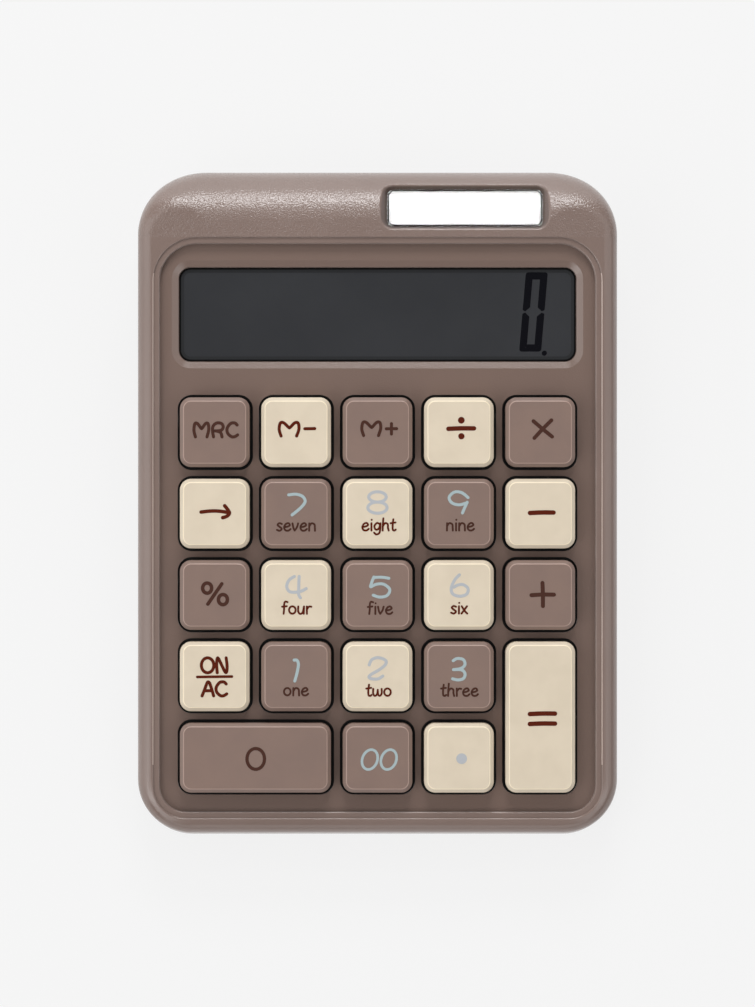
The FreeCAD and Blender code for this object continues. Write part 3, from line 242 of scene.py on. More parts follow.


# The sunken deck is darker than the rim, the walls of the solar recess are painted darker as shade, and the
# grain is strongest on the bolster.
# The step at the sides is painted pale as a highlight.
case_plastic = surface("case_plastic", tint(129, 110, 102), 0.22, specular_ior_level=0.8, sheen_weight=0.2)
mottle(case_plastic, tint(126, 107, 99), tint(130, 111, 103), 30 * MM)
inside_rim = meet(
    case_plastic,
    band(case_plastic, right, case_left + SIDE_RIM, case_right - SIDE_RIM),
    band(case_plastic, rearward, case_front + FRONT_RIM, case_rear - REAR_RIM),
)
sunken = meet(
    case_plastic,
    inside_rim,
    band(case_plastic, up, deck_top - DECK_THICKNESS, deck_top + WALL_RISE),
)
step_painted_highlight = meet(
    case_plastic,
    inside_rim,
    band(case_plastic, up, deck_top + STEP_FOOT, deck_top + STEP_TOP),
    band(case_plastic, rearward, case_front + STEP_FROM_FRONT, case_rear - STEP_FROM_REAR),
)
recess_painted_shade = meet(
    case_plastic,
    band(case_plastic, plate_up, plate_low.z, plate_high.z + RECESS_RISE),
    band(case_plastic, right, plate_low.x - RECESS_REACH, plate_high.x + RECESS_REACH),
    band(case_plastic, plate_back, plate_low.y - RECESS_REACH, plate_high.y + RECESS_REACH),
)
recolour(case_plastic, tint(120, 100, 91), sunken)
# Painted shade on the walls of the solar recess.
recolour(case_plastic, tint(104, 87, 78), recess_painted_shade)
# A painted highlight on the step at the sides.
recolour(case_plastic, tint(196, 176, 166), step_painted_highlight)
bolster = band(case_plastic, rearward, case_rear - BOLSTER_DEPTH, case_rear)
case_grain = grain(case_plastic, 0.33 * MM, 0.08 * MM, detail=0.0)
more_on_bolster = case_plastic.node_tree.nodes.new("ShaderNodeMath")
more_on_bolster.operation = "MULTIPLY_ADD"
more_on_bolster.inputs[1].default_value = BOLSTER_GRAIN - PLAIN_GRAIN
more_on_bolster.inputs[2].default_value = PLAIN_GRAIN
case_plastic.node_tree.links.new(bolster, more_on_bolster.inputs[0])
case_plastic.node_tree.links.new(more_on_bolster.outputs["Value"], case_grain.inputs["Strength"])
# The third tone of each key plastic is its painted highlight line.
brown_key = key_plastic("brown_key_plastic", tint(132, 111, 102), tint(136, 114, 104), tint(170, 144, 133))
cream_key = key_plastic("cream_key_plastic", tint(217, 203, 181), tint(222, 208, 186), tint(246, 231, 203))

inner_plastic = surface("inner_plastic", tint(205, 203, 196), 0.5)
grain(inner_plastic, 0.4 * MM, 0.01 * MM)
foot_rubber = surface("foot_rubber", tint(38, 36, 35), 0.8)
grain(foot_rubber, 0.3 * MM, 0.02 * MM)
screw_steel = surface("screw_steel", tint(178, 180, 184), 0.32, metallic=1.0)
grain(screw_steel, 0.25 * MM, 0.006 * MM)

display_plate = surface("smoked_display_plate", tint(10, 10, 11), 0.06, alpha=0.08, specular_ior_level=0.0)
lcd_glass = surface("lcd_glass", tint(58, 59, 62), 0.1, specular_ior_level=0.4)
mottle(lcd_glass, tint(56, 57, 60), tint(60, 61, 64), 25 * MM)
lcd_ink = surface("lcd_segment_ink", tint(13, 13, 19), 0.1, specular_ior_level=0.3)
connector_rubber = surface("connector_rubber", tint(48, 46, 47), 0.7)

solar_plate = surface("solar_plate", tint(250, 250, 250), 0.02, transmission_weight=1.0, ior=1.55)
solar_face = surface("solar_cell_face", tint(30, 22, 34), 0.05, ior=1.8)

board_green = surface("board_green", tint(38, 92, 58), 0.4)
mottle(board_green, tint(36, 88, 55), tint(42, 98, 62), 4 * MM)
epoxy_black = surface("epoxy_black", tint(22, 22, 23), 0.22)
capacitor_can = surface("capacitor_can", tint(44, 48, 92), 0.35)
membrane_rubber = surface("membrane_rubber", tint(196, 196, 190), 0.6)
pill_rubber = surface("pill_rubber", tint(30, 30, 31), 0.7)
battery_can = surface("battery_can", tint(186, 188, 192), 0.25, metallic=1.0)
contact_metal = surface("contact_metal", tint(200, 202, 204), 0.3, metallic=1.0)
lead_red = surface("lead_red", tint(170, 36, 32), 0.45)
lead_black = surface("lead_black", tint(32, 32, 34), 0.45)
for hidden in (connector_rubber, epoxy_black, capacitor_can, membrane_rubber, pill_rubber, battery_can,
               contact_metal, lead_red, lead_black):
    grain(hidden, 0.3 * MM, 0.008 * MM)

dark_ink = surface("dark_brown_ink", tint(72, 45, 37), 0.6, specular_ior_level=0.1)
red_ink = surface("red_brown_ink", tint(86, 28, 11), 0.6, specular_ior_level=0.1)
pale_ink = surface("pale_blue_ink", tint(163, 180, 183), 0.6)
grey_ink = surface("grey_ink", tint(178, 181, 186), 0.5)
# Near black and dark grey for painted shadow and painted shade at the plates' edges.
painted_shadow_black = surface("painted_shadow_black", tint(6, 6, 6), 0.6, specular_ior_level=0.1)
painted_shade_grey = surface("painted_shade_grey", tint(50, 51, 53), 0.1)

CREAM_KEYS = ["key_m_minus", "key_divide", "key_backspace", "key_8", "key_minus", "key_4", "key_6",
              "key_on_ac", "key_2", "key_equals", "key_point"]

FINISHES = {
    "upper_case": case_plastic, "lower_case": case_plastic, "battery_door": case_plastic,
    "rubber_feet": foot_rubber, "case_screws": screw_steel, "board_screws": screw_steel,
    "display_window": display_plate, "lcd_panel": lcd_glass, "lcd_frame": inner_plastic,
    "lcd_connector": connector_rubber, "solar_window": solar_plate, "solar_cell": solar_face,
    "solar_lead_positive": lead_red, "solar_lead_negative": lead_black,
    "battery_lead_positive": lead_red, "battery_lead_negative": lead_black,
    "main_board": board_green, "controller_blob": epoxy_black, "board_capacitors": capacitor_can,
    "keypad_membrane": membrane_rubber, "contact_pills": pill_rubber,
    "battery_cell": battery_can, "battery_spring": contact_metal, "battery_contact_plate": contact_metal,
}
for name in keys:
    FINISHES[name] = cream_key if name in CREAM_KEYS else brown_key

SMOOTH_BELOW = math.radians(32)

for name, node in nodes.items():
    node.data.materials.clear()
    node.data.materials.append(FINISHES[name])
    node.data.shade_smooth()
    node.data.set_sharp_from_angle(angle=SMOOTH_BELOW)
    even = node.modifiers.new("flat faces stay flat", "WEIGHTED_NORMAL")
    even.keep_sharp = True


def add_piece(name, mesh, finish, place, body):
    """Makes a piece of one finish from a mesh being built, puts it in its place and has it ride on a body."""
    data = bpy.data.meshes.new(name)
    mesh.to_mesh(data)
    mesh.free()
    data.materials.append(finish)
    piece = bpy.data.objects.new(name, data)
    bpy.context.scene.collection.objects.link(piece)
    piece.matrix_world = place
    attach(piece, body)
    return piece


def thicken(mesh, faces, depth):
    """Makes flat faces of a mesh into plates, by adding their other side at that height over them."""
    added = bmesh.ops.extrude_face_region(mesh, geom=faces)["geom"]
    moved = [item for item in added if isinstance(item, bmesh.types.BMVert)]
    bmesh.ops.translate(mesh, verts=moved, vec=(0, 0, depth))
    bmesh.ops.recalc_face_normals(mesh, faces=mesh.faces)


# Lettering: rounded single strokes, drawn as points that a smooth line runs through.
# Letters and digits are one unit high from their foot, and symbols are in millimetres about their middle.
# Each has its width, which is nought for a symbol, and its strokes.

def ring(x, y, across, high, lean=0.0):
    """The points of an oval stroke that closes on itself."""
    count = 16
    turns = [2 * math.pi * step / count for step in range(count + 1)]
    points = [(across * math.cos(turn), high * math.sin(turn)) for turn in turns]
    return [(x + px + lean * py, y + py) for px, py in points]


GLYPHS = {
    "0": (0.86, [ring(0.43, 0.5, 0.43, 0.5)]),
    "1": (0.2, [[(0, 0.98), (0.13, 0.97), (0.2, 0.78), (0.14, 0.4), (0.03, 0)]]),
    "2": (0.86, [[(0.04, 0.66), (0.16, 0.9), (0.46, 1), (0.8, 0.88), (0.8, 0.68), (0.52, 0.44), (0.14, 0.22),
                  (0.03, 0.09), (0.16, 0.01), (0.46, 0.01), (0.68, 0.14)]]),
    "3": (0.66, [[(0.05, 0.9), (0.24, 1), (0.52, 0.95), (0.6, 0.72), (0.42, 0.54), (0.06, 0.48)],
                 [(0.06, 0.48), (0.44, 0.47), (0.6, 0.3), (0.54, 0.08), (0.3, 0), (0.02, 0.05)]]),
    "4": (0.95, [[(0.4, 1), (0.15, 0.83), (0.04, 0.54), (0.16, 0.3), (0.44, 0.26), (0.74, 0.32),
                  (0.95, 0.43)],
                 [(0.62, 1), (0.6, 0.5), (0.6, 0.16), (0.68, 0)]]),
    "5": (0.95, [[(0.9, 0.88), (0.58, 0.93), (0.2, 0.92)], [(0.2, 0.94), (0.11, 0.72), (0.04, 0.5)],
                 [(0.06, 0.48), (0.32, 0.6), (0.66, 0.6), (0.94, 0.36), (0.82, 0.08), (0.48, 0),
                  (0.17, 0.09)]]),
    "6": (0.86, [[(0.44, 1), (0.22, 0.76), (0.06, 0.38), (0.14, 0.1), (0.46, 0), (0.78, 0.1), (0.84, 0.36),
                  (0.62, 0.54), (0.36, 0.52), (0.18, 0.42)]]),
    "7": (0.8, [[(0, 0.94), (0.36, 0.97), (0.66, 0.86), (0.77, 0.62), (0.56, 0.33), (0.16, 0)]]),
    "8": (0.9, [ring(0.45, 0.76, 0.41, 0.24), ring(0.45, 0.26, 0.45, 0.26)]),
    "9": (0.95, [[(0.92, 0.72), (0.64, 0.94), (0.3, 0.98), (0.04, 0.74), (0.16, 0.48), (0.5, 0.38),
                  (0.88, 0.48)],
                 [(0.88, 0.5), (0.76, 0.24), (0.66, 0)]]),
    "e": (0.62, [[(0.1, 0.3), (0.34, 0.34), (0.52, 0.46), (0.4, 0.62), (0.18, 0.54), (0.05, 0.28),
                  (0.16, 0.04), (0.4, 0.01), (0.58, 0.14)]]),
    "f": (0.46, [[(0.46, 0.96), (0.28, 1), (0.19, 0.8), (0.18, 0.4), (0.14, 0)],
                 [(0.02, 0.58), (0.4, 0.62)]]),
    "g": (0.6, [[(0.5, 0.52), (0.28, 0.62), (0.06, 0.36), (0.18, 0.08), (0.42, 0.16), (0.54, 0.5)],
                [(0.56, 0.6), (0.54, 0.1), (0.46, -0.22), (0.22, -0.32), (0.04, -0.18)]]),
    "h": (0.62, [[(0.12, 1), (0.08, 0.5), (0.06, 0)],
                 [(0.07, 0.34), (0.26, 0.6), (0.48, 0.52), (0.5, 0.24), (0.56, 0)]]),
    "i": (0.2, [[(0.1, 0.6), (0.1, 0)], [(0.12, 0.88)]]),
    "n": (0.64, [[(0.08, 0.6), (0.07, 0)],
                 [(0.08, 0.36), (0.26, 0.6), (0.5, 0.52), (0.54, 0.24), (0.55, 0)]]),
    "o": (0.66, [ring(0.32, 0.31, 0.27, 0.3)]),
    "r": (0.46, [[(0.07, 0.6), (0.08, 0)], [(0.08, 0.36), (0.24, 0.58), (0.44, 0.58)]]),
    "s": (0.5, [[(0.44, 0.56), (0.24, 0.62), (0.09, 0.48), (0.26, 0.32), (0.43, 0.16), (0.26, 0),
                 (0.04, 0.07)]]),
    "t": (0.46, [[(0.24, 0.92), (0.19, 0.5), (0.2, 0.08), (0.34, 0), (0.44, 0.08)],
                 [(0.02, 0.6), (0.42, 0.66)]]),
    "u": (0.62, [[(0.07, 0.6), (0.06, 0.22), (0.2, 0), (0.42, 0.1), (0.54, 0.6)], [(0.54, 0.6), (0.52, 0)]]),
    "v": (0.56, [[(0.04, 0.6), (0.12, 0.22), (0.22, 0.02)], [(0.22, 0.02), (0.4, 0.28), (0.5, 0.6)]]),
    "w": (0.82, [[(0.05, 0.58), (0.04, 0.2), (0.18, 0), (0.36, 0.14), (0.42, 0.5)],
                 [(0.42, 0.4), (0.46, 0.1), (0.6, 0.01), (0.74, 0.2), (0.74, 0.58)]]),
    "x": (0.54, [[(0.05, 0.6), (0.26, 0.26), (0.5, 0)], [(0.48, 0.6), (0.24, 0.28), (0.03, 0)]]),
    "A": (0.86, [[(0, 0), (0.2, 0.5), (0.36, 0.92), (0.44, 0.98), (0.54, 0.88), (0.7, 0.4), (0.82, 0)],
                 [(0.17, 0.36), (0.68, 0.37)]]),
    "C": (0.86, [[(0.76, 0.84), (0.6, 0.98), (0.3, 0.94), (0.06, 0.6), (0.1, 0.26), (0.36, 0.02), (0.6, 0.02),
                  (0.8, 0.14)]]),
    "M": (1.24, [[(0.14, 0), (0.04, 0.46), (0.1, 0.92), (0.28, 0.94), (0.54, 0.62), (0.62, 0.62),
                  (0.86, 0.94), (1.04, 0.92), (1.08, 0.5), (0.96, 0)]]),
    "N": (0.82, [[(0.08, 0), (0.04, 0.5), (0.08, 0.96), (0.18, 0.92), (0.4, 0.46), (0.62, 0.04), (0.72, 0.1),
                  (0.74, 0.5), (0.68, 1)]]),
    "O": (0.94, [ring(0.45, 0.5, 0.42, 0.5)]),
    "R": (0.92, [[(0.1, 0), (0.03, 0.44), (0.08, 0.78), (0.34, 0.98), (0.66, 0.94), (0.78, 0.7), (0.62, 0.46),
                  (0.16, 0.42)], [(0.3, 0.42), (0.6, 0.3), (0.7, 0)]]),
    "oval": (0, [ring(0, 0, 1.72, 2.2, 0.16)]),
    "zero": (0, [ring(0, 0, 1.95, 2.3)]),
    "dot": (0, [[(0, 0)]]),
    "bar": (0, [[(-2.85, -0.06), (0, 0.06), (2.85, 0.04)]]),
    "dash": (0, [[(-1.1, 0), (1.1, 0.05)]]),
    "line": (0, [[(-3.85, -0.05), (3.85, 0.05)]]),
    "plus": (0, [[(-2.5, -0.12), (0, 0.02), (2.5, 0)], [(-0.05, 2.6), (0.05, 0), (0.06, -2.55)]]),
    "small_plus": (0, [[(-1.15, 0), (1.15, 0.03)], [(0, 1.15), (0, -1.15)]]),
    "cross": (0, [[(-2.05, 1.75), (0, 0), (2.1, -1.7)], [(1.95, 1.95), (0, 0), (-1.85, -2)]]),
    "arrow": (0, [[(-3.2, 0), (-1.2, 0.22), (0.8, 0.2), (3, -0.12)],
                  [(2.05, 1.4), (2.75, 0.5), (3.1, -0.25), (2.5, -0.95), (1.6, -1.25)]]),
    "percent": (0, [ring(-1.75, 1.35, 1.0, 1.12), ring(1.75, -1.2, 1.0, 1.12), [(1.5, 2.3), (-1.6, -2.2)]]),
}


def smooth(points, steps=8):
    """Points along a smooth line that runs through the given ones."""
    if len(points) < 3:
        return [Vector(point) for point in points]
    closed = points[0] == points[-1]
    count = len(points)
    before = points[-2] if closed else points[0]
    after = points[1] if closed else points[-1]
    knots = [Vector(point) for point in [before, *points, after]]
    line = []
    for index in range(1, count):
        a, b, c, d = knots[index - 1:index + 3]
        for step in range(steps):
            t = step / steps
            line.append(0.5 * (2 * b + (c - a) * t + (2 * a - 5 * b + 4 * c - d) * t * t
                               + (3 * b - a - 3 * c + d) * t * t * t))
    line.append(Vector(points[-1]))
    return line


END_STEPS = 8
CLOSED_WITHIN = 1e-9


def ribbon(mesh, line, width, height):
    """Adds a flat stroke with round ends to a mesh, that wide and lying at that height."""
    radius = width / 2

    def fan(middle, heading, turn):
        hub = mesh.verts.new((*middle, height))
        spokes = []
        for step in range(END_STEPS + 1):
            angle = heading - turn / 2 + turn * step / END_STEPS
            edge = middle + radius * Vector((math.cos(angle), math.sin(angle)))
            spokes.append(mesh.verts.new((*edge, height)))
        for first, second in zip(spokes, spokes[1:]):
            mesh.faces.new((hub, first, second))

    if len(line) == 1:
        fan(line[0], 0, math.pi)
        fan(line[0], math.pi, math.pi)
        return
    closed = (line[0] - line[-1]).length < CLOSED_WITHIN
    rails = []
    for index, point in enumerate(line):
        before = line[index - 1] if index else (line[-2] if closed else point)
        after = line[index + 1] if index + 1 < len(line) else (line[1] if closed else point)
        along = (after - before).normalized()
        side = radius * Vector((-along.y, along.x))
        rails.append((mesh.verts.new((*(point + side), height)), mesh.verts.new((*(point - side), height))))
    for (left_edge, right_edge), (next_left, next_right) in zip(rails, rails[1:]):
        mesh.faces.new((left_edge, right_edge, next_right, next_left))
    if not closed:
        start = line[0] - line[1]
        finish = line[-1] - line[-2]
        fan(line[0], math.atan2(start.y, start.x), math.pi)
        fan(line[-1], math.atan2(finish.y, finish.x), math.pi)


INK_THICKNESS = 0.04 * MM
STROKE_STEP = 0.001 * MM
STROKE_WELD = 0.0002 * MM
LETTER_GAP = 0.08


def lay_print(name, mesh, foot, finish, body, axes=deck):
    """Makes flat strokes into a thin print on a body, with their middle at a foot in a plane's axes."""
    bmesh.ops.remove_doubles(mesh, verts=mesh.verts, dist=STROKE_WELD)
    printed = add_piece(name, mesh, finish, axes @ Matrix.Translation(foot), body)
    thick = printed.modifiers.new("ink body", "SOLIDIFY")
    thick.thickness = INK_THICKNESS
    thick.offset = -1


def print_on(key, name, text, x, y, height, width, ink, stretch=1.0):
    """Prints letters or one named symbol on a key's face, x and y millimetres from its middle."""
    glyphs = [GLYPHS[text]] if text in GLYPHS else [GLYPHS[letter] for letter in text]
    across = height * stretch
    pen = -sum(advance for advance, _ in glyphs) / 2 - LETTER_GAP * (len(glyphs) - 1) / 2
    mesh = bmesh.new()
    level = INK_THICKNESS
    for advance, strokes in glyphs:
        for stroke in strokes:
            points = [((x + (pen + px) * across) * MM, (y + py * height) * MM) for px, py in stroke]
            ribbon(mesh, smooth(points), width * MM, level)
            level += STROKE_STEP
        pen += advance + LETTER_GAP
    low, high = deck_span(key)
    face = Vector(((low.x + high.x) / 2, (low.y + high.y) / 2, high.z))
    lay_print(name, mesh, face, ink, key)


# Widths of strokes, and heights of letters, in millimetres.
CAPITAL = 0.7
DIGIT = 0.66
WORD = 0.44
SYMBOL = 1.0
DIGIT_HEIGHT = 4.75
WORD_HEIGHT = 2.7

# Each digit's word, the digit's x and y, and the word's y and x.
DIGITS = {
    "1": ("one", 0.05, -1.0, -4.2, 0.0), "2": ("two", 0.0, -0.55, -4.3, 0.3),
    "3": ("three", 0.05, -0.75, -4.3, 0.15), "4": ("four", 0.0, -0.6, -4.15, 0.15),
    "5": ("five", 0.5, -0.45, -4.2, 0.6), "6": ("six", 0.05, -0.25, -4.1, 0.05),
    "7": ("seven", 0.25, -0.3, -3.8, 0.05), "8": ("eight", 0.0, 0.1, -3.75, 0.3),
    "9": ("nine", -0.1, 0.15, -3.75, 0.3),
}
for digit, (word, digit_x, digit_y, word_y, word_x) in DIGITS.items():
    key = "key_" + digit
    digit_ink, word_ink = (grey_ink, red_ink) if key in CREAM_KEYS else (pale_ink, dark_ink)
    print_on(key, "digit_" + digit, digit, digit_x, digit_y, DIGIT_HEIGHT, DIGIT, digit_ink)
    print_on(key, "word_" + word, word, word_x, word_y, WORD_HEIGHT, WORD, word_ink)

print_on("key_mrc", "legend_mrc", "MRC", 0.3, -1.05, 3.15, CAPITAL, dark_ink)
print_on("key_m_minus", "legend_m_minus", "M", -1.3, -0.85, 3.1, CAPITAL, red_ink, 1.36)
print_on("key_m_minus", "legend_m_minus_dash", "dash", 3.05, 0.75, 1, CAPITAL, red_ink)
print_on("key_m_plus", "legend_m_plus", "M", -1.15, -0.75, 3.1, CAPITAL, dark_ink, 1.3)
print_on("key_m_plus", "legend_m_plus_sign", "small_plus", 3.1, 0.75, 1, CAPITAL, dark_ink)
print_on("key_divide", "legend_divide", "bar", 0.5, 0.8, 1, SYMBOL, red_ink)
print_on("key_divide", "legend_divide_top", "dot", 0.52, 2.65, 1, 1.5, red_ink)
print_on("key_divide", "legend_divide_bottom", "dot", 0.54, -0.9, 1, 1.4, red_ink)
print_on("key_multiply", "legend_multiply", "cross", 0.5, 0.7, 1, 0.85, dark_ink)
print_on("key_backspace", "legend_backspace", "arrow", 0.2, 0.35, 1, 0.8, red_ink)
print_on("key_minus", "legend_minus", "bar", 0.3, 0.2, 0.92, SYMBOL, red_ink)
print_on("key_percent", "legend_percent", "percent", 0.1, 0.2, 1, 0.8, dark_ink)
print_on("key_plus", "legend_plus", "plus", 0.5, 0.1, 1, 0.9, dark_ink)
print_on("key_equals", "legend_equals_top", "bar", 0.45, 0.78, 0.98, SYMBOL, red_ink)
print_on("key_equals", "legend_equals_bottom", "bar", 0.45, -1.44, 0.98, SYMBOL, red_ink)
print_on("key_on_ac", "legend_on", "ON", 0.0, 0.85, 3.3, CAPITAL, red_ink)
print_on("key_on_ac", "legend_on_line", "line", 0.0, -0.05, 1, 0.6, red_ink)
print_on("key_on_ac", "legend_ac", "AC", 0.05, -4.3, 3.15, CAPITAL, red_ink)
print_on("key_0", "legend_0", "zero", 0.1, -0.2, 1, 0.74, dark_ink)
print_on("key_00", "legend_00_left", "oval", -1.7, -0.35, 1, 0.58, pale_ink)
print_on("key_00", "legend_00_right", "oval", 2.5, -0.35, 1, 0.58, pale_ink)
print_on("key_point", "legend_point", "dot", 0.6, -0.15, 1, 2.4, grey_ink)


# Under the window lies the display's dark front film. Round it, at the window's edge, a black outline is
# painted shadow and a grey band inside that is painted shade.

WINDOW_CORNER = 2.55 * MM
FILM_RISE = 0.05 * MM
CORNER_STEPS = 10

window_low, window_high = deck_span("display_window")
window_middle = (window_low + window_high) / 2
film_place = Vector((window_middle.x, window_middle.y, window_low.z + FILM_RISE))


def outline(low, high, corner, inset):
    """A plate's outline about its middle, that far in from its edge."""
    radius = corner - inset
    reach_x = (high.x - low.x) / 2 - corner
    reach_y = (high.y - low.y) / 2 - corner
    line = []
    for quarter, (side_x, side_y) in enumerate(((1, 1), (-1, 1), (-1, -1), (1, -1))):
        for step in range(CORNER_STEPS + 1):
            turn = (quarter + step / CORNER_STEPS) * math.pi / 2
            x = side_x * reach_x + radius * math.cos(turn)
            y = side_y * reach_y + radius * math.sin(turn)
            line.append(Vector((x, y)))
    return line


def painted_shade_frame(name, low, high, corner, outside, inside, foot, finish, axes=deck):
    """A frame on the case between two distances from a plate's edge, for painted shadow and painted shade."""
    line = outline(low, high, corner, (outside + inside) / 2)
    mesh = bmesh.new()
    ribbon(mesh, [*line, line[0]], inside - outside, INK_THICKNESS)
    lay_print(name, mesh, foot, finish, "case", axes)


OUTLINE_GAP = 0.02 * MM
OUTLINE_INSET = 0.4 * MM
FILM_INSET = 1.1 * MM
# A black outline of painted shadow, then a grey band of painted shade, round the film.
painted_shade_frame("window_painted_shadow", window_low, window_high, WINDOW_CORNER, OUTLINE_GAP, OUTLINE_INSET, film_place,
       painted_shadow_black)
painted_shade_frame("window_painted_shade", window_low, window_high, WINDOW_CORNER, OUTLINE_INSET, FILM_INSET, film_place,
       painted_shade_grey)
film = bmesh.new()
film_hub = film.verts.new((0, 0, INK_THICKNESS))
film_line = outline(window_low, window_high, WINDOW_CORNER, FILM_INSET)
film_rim = [film.verts.new((*point, INK_THICKNESS)) for point in film_line]
for first, second in zip(film_rim, [*film_rim[1:], film_rim[0]]):
    film.faces.new((film_hub, first, second))
lay_print("display_film", film, film_place, lcd_glass, "case")


# A black line of painted shadow runs round the top of the solar plate, where the gap round the plate lies.

SOLAR_CORNER = 1.5 * MM
SOLAR_LINE_GAP = 0.05 * MM
SOLAR_LINE_INSET = 0.32 * MM

plate_top = Vector(((plate_low.x + plate_high.x) / 2, (plate_low.y + plate_high.y) / 2, plate_high.z))
painted_shade_frame("solar_painted_shadow", plate_low, plate_high, SOLAR_CORNER, SOLAR_LINE_GAP, SOLAR_LINE_INSET, plate_top,
       painted_shadow_black, plate_axes)


# The display shows a nought and a point, as thin dark segments on the film.

SEGMENT_THICKNESS = 0.03 * MM
DIGIT_LEAN = 0.085
NOUGHT_FROM_RIGHT = 10.2 * MM
NOUGHT_FROM_FRONT = 2.2 * MM

nought_place = deck @ Matrix.Translation((
    window_high.x - NOUGHT_FROM_RIGHT,
    window_low.y + NOUGHT_FROM_FRONT,
    film_place.z + INK_THICKNESS,
))


def segment(name, corners):
    """One display segment from corner points in millimetres, from the middle of the nought's foot."""
    mesh = bmesh.new()
    face = mesh.faces.new([mesh.verts.new(((x + DIGIT_LEAN * y) * MM, y * MM, 0)) for x, y in corners])
    thicken(mesh, [face], SEGMENT_THICKNESS)
    add_piece(name, mesh, lcd_ink, nought_place, "case")


# The nought's sizes in millimetres. Its posts end in points with a small gap at half its height.
HALF_WIDTH = 2.45
STROKE = 1.6
NOUGHT_HEIGHT = 17.7
BEND = 0.5
BEND_MIDDLE = 0.15
POST_GAP = 0.14
POINT_OUTSIDE = 0.3
POINT_INSIDE = 0.9
POINT_IN = 0.6
INNER = HALF_WIDTH - STROKE
POST_END = NOUGHT_HEIGHT / 2 - POST_GAP
CAP = [(-HALF_WIDTH, BEND), (-HALF_WIDTH + BEND_MIDDLE, BEND_MIDDLE), (-HALF_WIDTH + BEND, 0),
       (HALF_WIDTH - BEND, 0), (HALF_WIDTH - BEND_MIDDLE, BEND_MIDDLE), (HALF_WIDTH, BEND),
       (INNER, STROKE), (-INNER, STROKE)]
POST = [(HALF_WIDTH, BEND), (HALF_WIDTH, POST_END - POINT_OUTSIDE), (HALF_WIDTH - POINT_IN, POST_END),
        (INNER, POST_END - POINT_INSIDE), (INNER, STROKE)]
for end, foot_y, way in (("bottom", 0, 1), ("top", NOUGHT_HEIGHT, -1)):
    segment("segment_" + end, [(x, foot_y + way * y) for x, y in CAP])
    for side, sign in (("left", -1), ("right", 1)):
        segment("segment_" + end + "_" + side, [(sign * x, foot_y + way * y) for x, y in POST])

DOT_RADIUS = 0.58
DOT_X = HALF_WIDTH + 0.75
DOT_Y = -0.35
DOT_STEPS = 12
dot_turns = [2 * math.pi * step / DOT_STEPS for step in range(DOT_STEPS)]
segment("segment_point", [(DOT_X + DOT_RADIUS * math.cos(turn), DOT_Y + DOT_RADIUS * math.sin(turn))
                          for turn in dot_turns])


# The rubber mat under the keys: a flat sheet, a dome under each key, and
# the conductive pill inside each dome, which goes down with the key.

CELL = 18.1 * MM
SHEET_THICKNESS = 0.8 * MM
SHEET_WELD = 0.01 * MM
HOLE_RADIUS = 3.4 * MM
HOLE_STEPS = 8
ROUND_STEPS = 40
DOME_PROFILE = [(0, 3.7), (2.35, 3.7), (2.53, 3.64), (2.63, 3.5), (4.2, 0), (3.4, 0), (1.8, 2.7), (0, 2.7)]
PILL_PROFILE = [(0, 2.7), (1.42, 2.7), (1.5, 2.62), (1.5, 2.18), (1.42, 2.1), (0, 2.1)]

# The finish of each replaced node, and its slot in the record.
MAT_FINISHES = {
    "keypad_membrane": (membrane_rubber, "membrane_rubber"),
    "contact_pills": (pill_rubber, "pill_rubber"),
}

mat_low, mat_high = deck_span("keypad_membrane")


def lathe(profile):
    """A round mesh about its own upright axis, from the radius and height of points in millimetres."""
    mesh = bmesh.new()
    rings = []
    for radius, height in profile:
        turns = [2 * math.pi * step / ROUND_STEPS for step in range(ROUND_STEPS if radius else 1)]
        spots = [(radius * math.cos(turn) * MM, radius * math.sin(turn) * MM, height * MM) for turn in turns]
        rings.append([mesh.verts.new(spot) for spot in spots])
    for upper, lower in zip(rings, rings[1:]):
        for step in range(ROUND_STEPS):
            corners = [row[index % len(row)] for row, index in
                       ((upper, step), (lower, step), (lower, step + 1), (upper, step + 1))]
            mesh.faces.new(dict.fromkeys(corners))
    return mesh


def mat_piece(name, mesh, x, y, body, node):
    """A piece of the mat on a body, with its foot on the board, shown in place of that CAD node."""
    finish, slot = MAT_FINISHES[node]
    bmesh.ops.recalc_face_normals(mesh, faces=mesh.faces)
    piece = add_piece(name, mesh, finish, deck @ Matrix.Translation((x, y, mat_low.z)), body)
    piece.data.shade_smooth()
    piece.data.set_sharp_from_angle(angle=SMOOTH_BELOW)
    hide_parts(node)
    return piece


def sheet_cell(mesh, x, y, edges_x, edges_y):
    """Adds one cell of the sheet, a plate with a round hole about its middle."""
    corners = [Vector((edges_x[a], edges_y[b])) for a, b in ((0, 0), (1, 0), (1, 1), (0, 1))]
    outer = [corners[side].lerp(corners[(side + 1) % 4], step / HOLE_STEPS)
             for side in range(4) for step in range(HOLE_STEPS)]
    middle = Vector((x, y))
    inner = [middle + HOLE_RADIUS * (point - middle).normalized() for point in outer]
    rims = [[mesh.verts.new((*point, SHEET_THICKNESS)) for point in line] for line in (inner, outer)]
    for index in range(len(outer)):
        after = (index + 1) % len(outer)
        mesh.faces.new((rims[0][index], rims[1][index], rims[1][after], rims[0][after]))


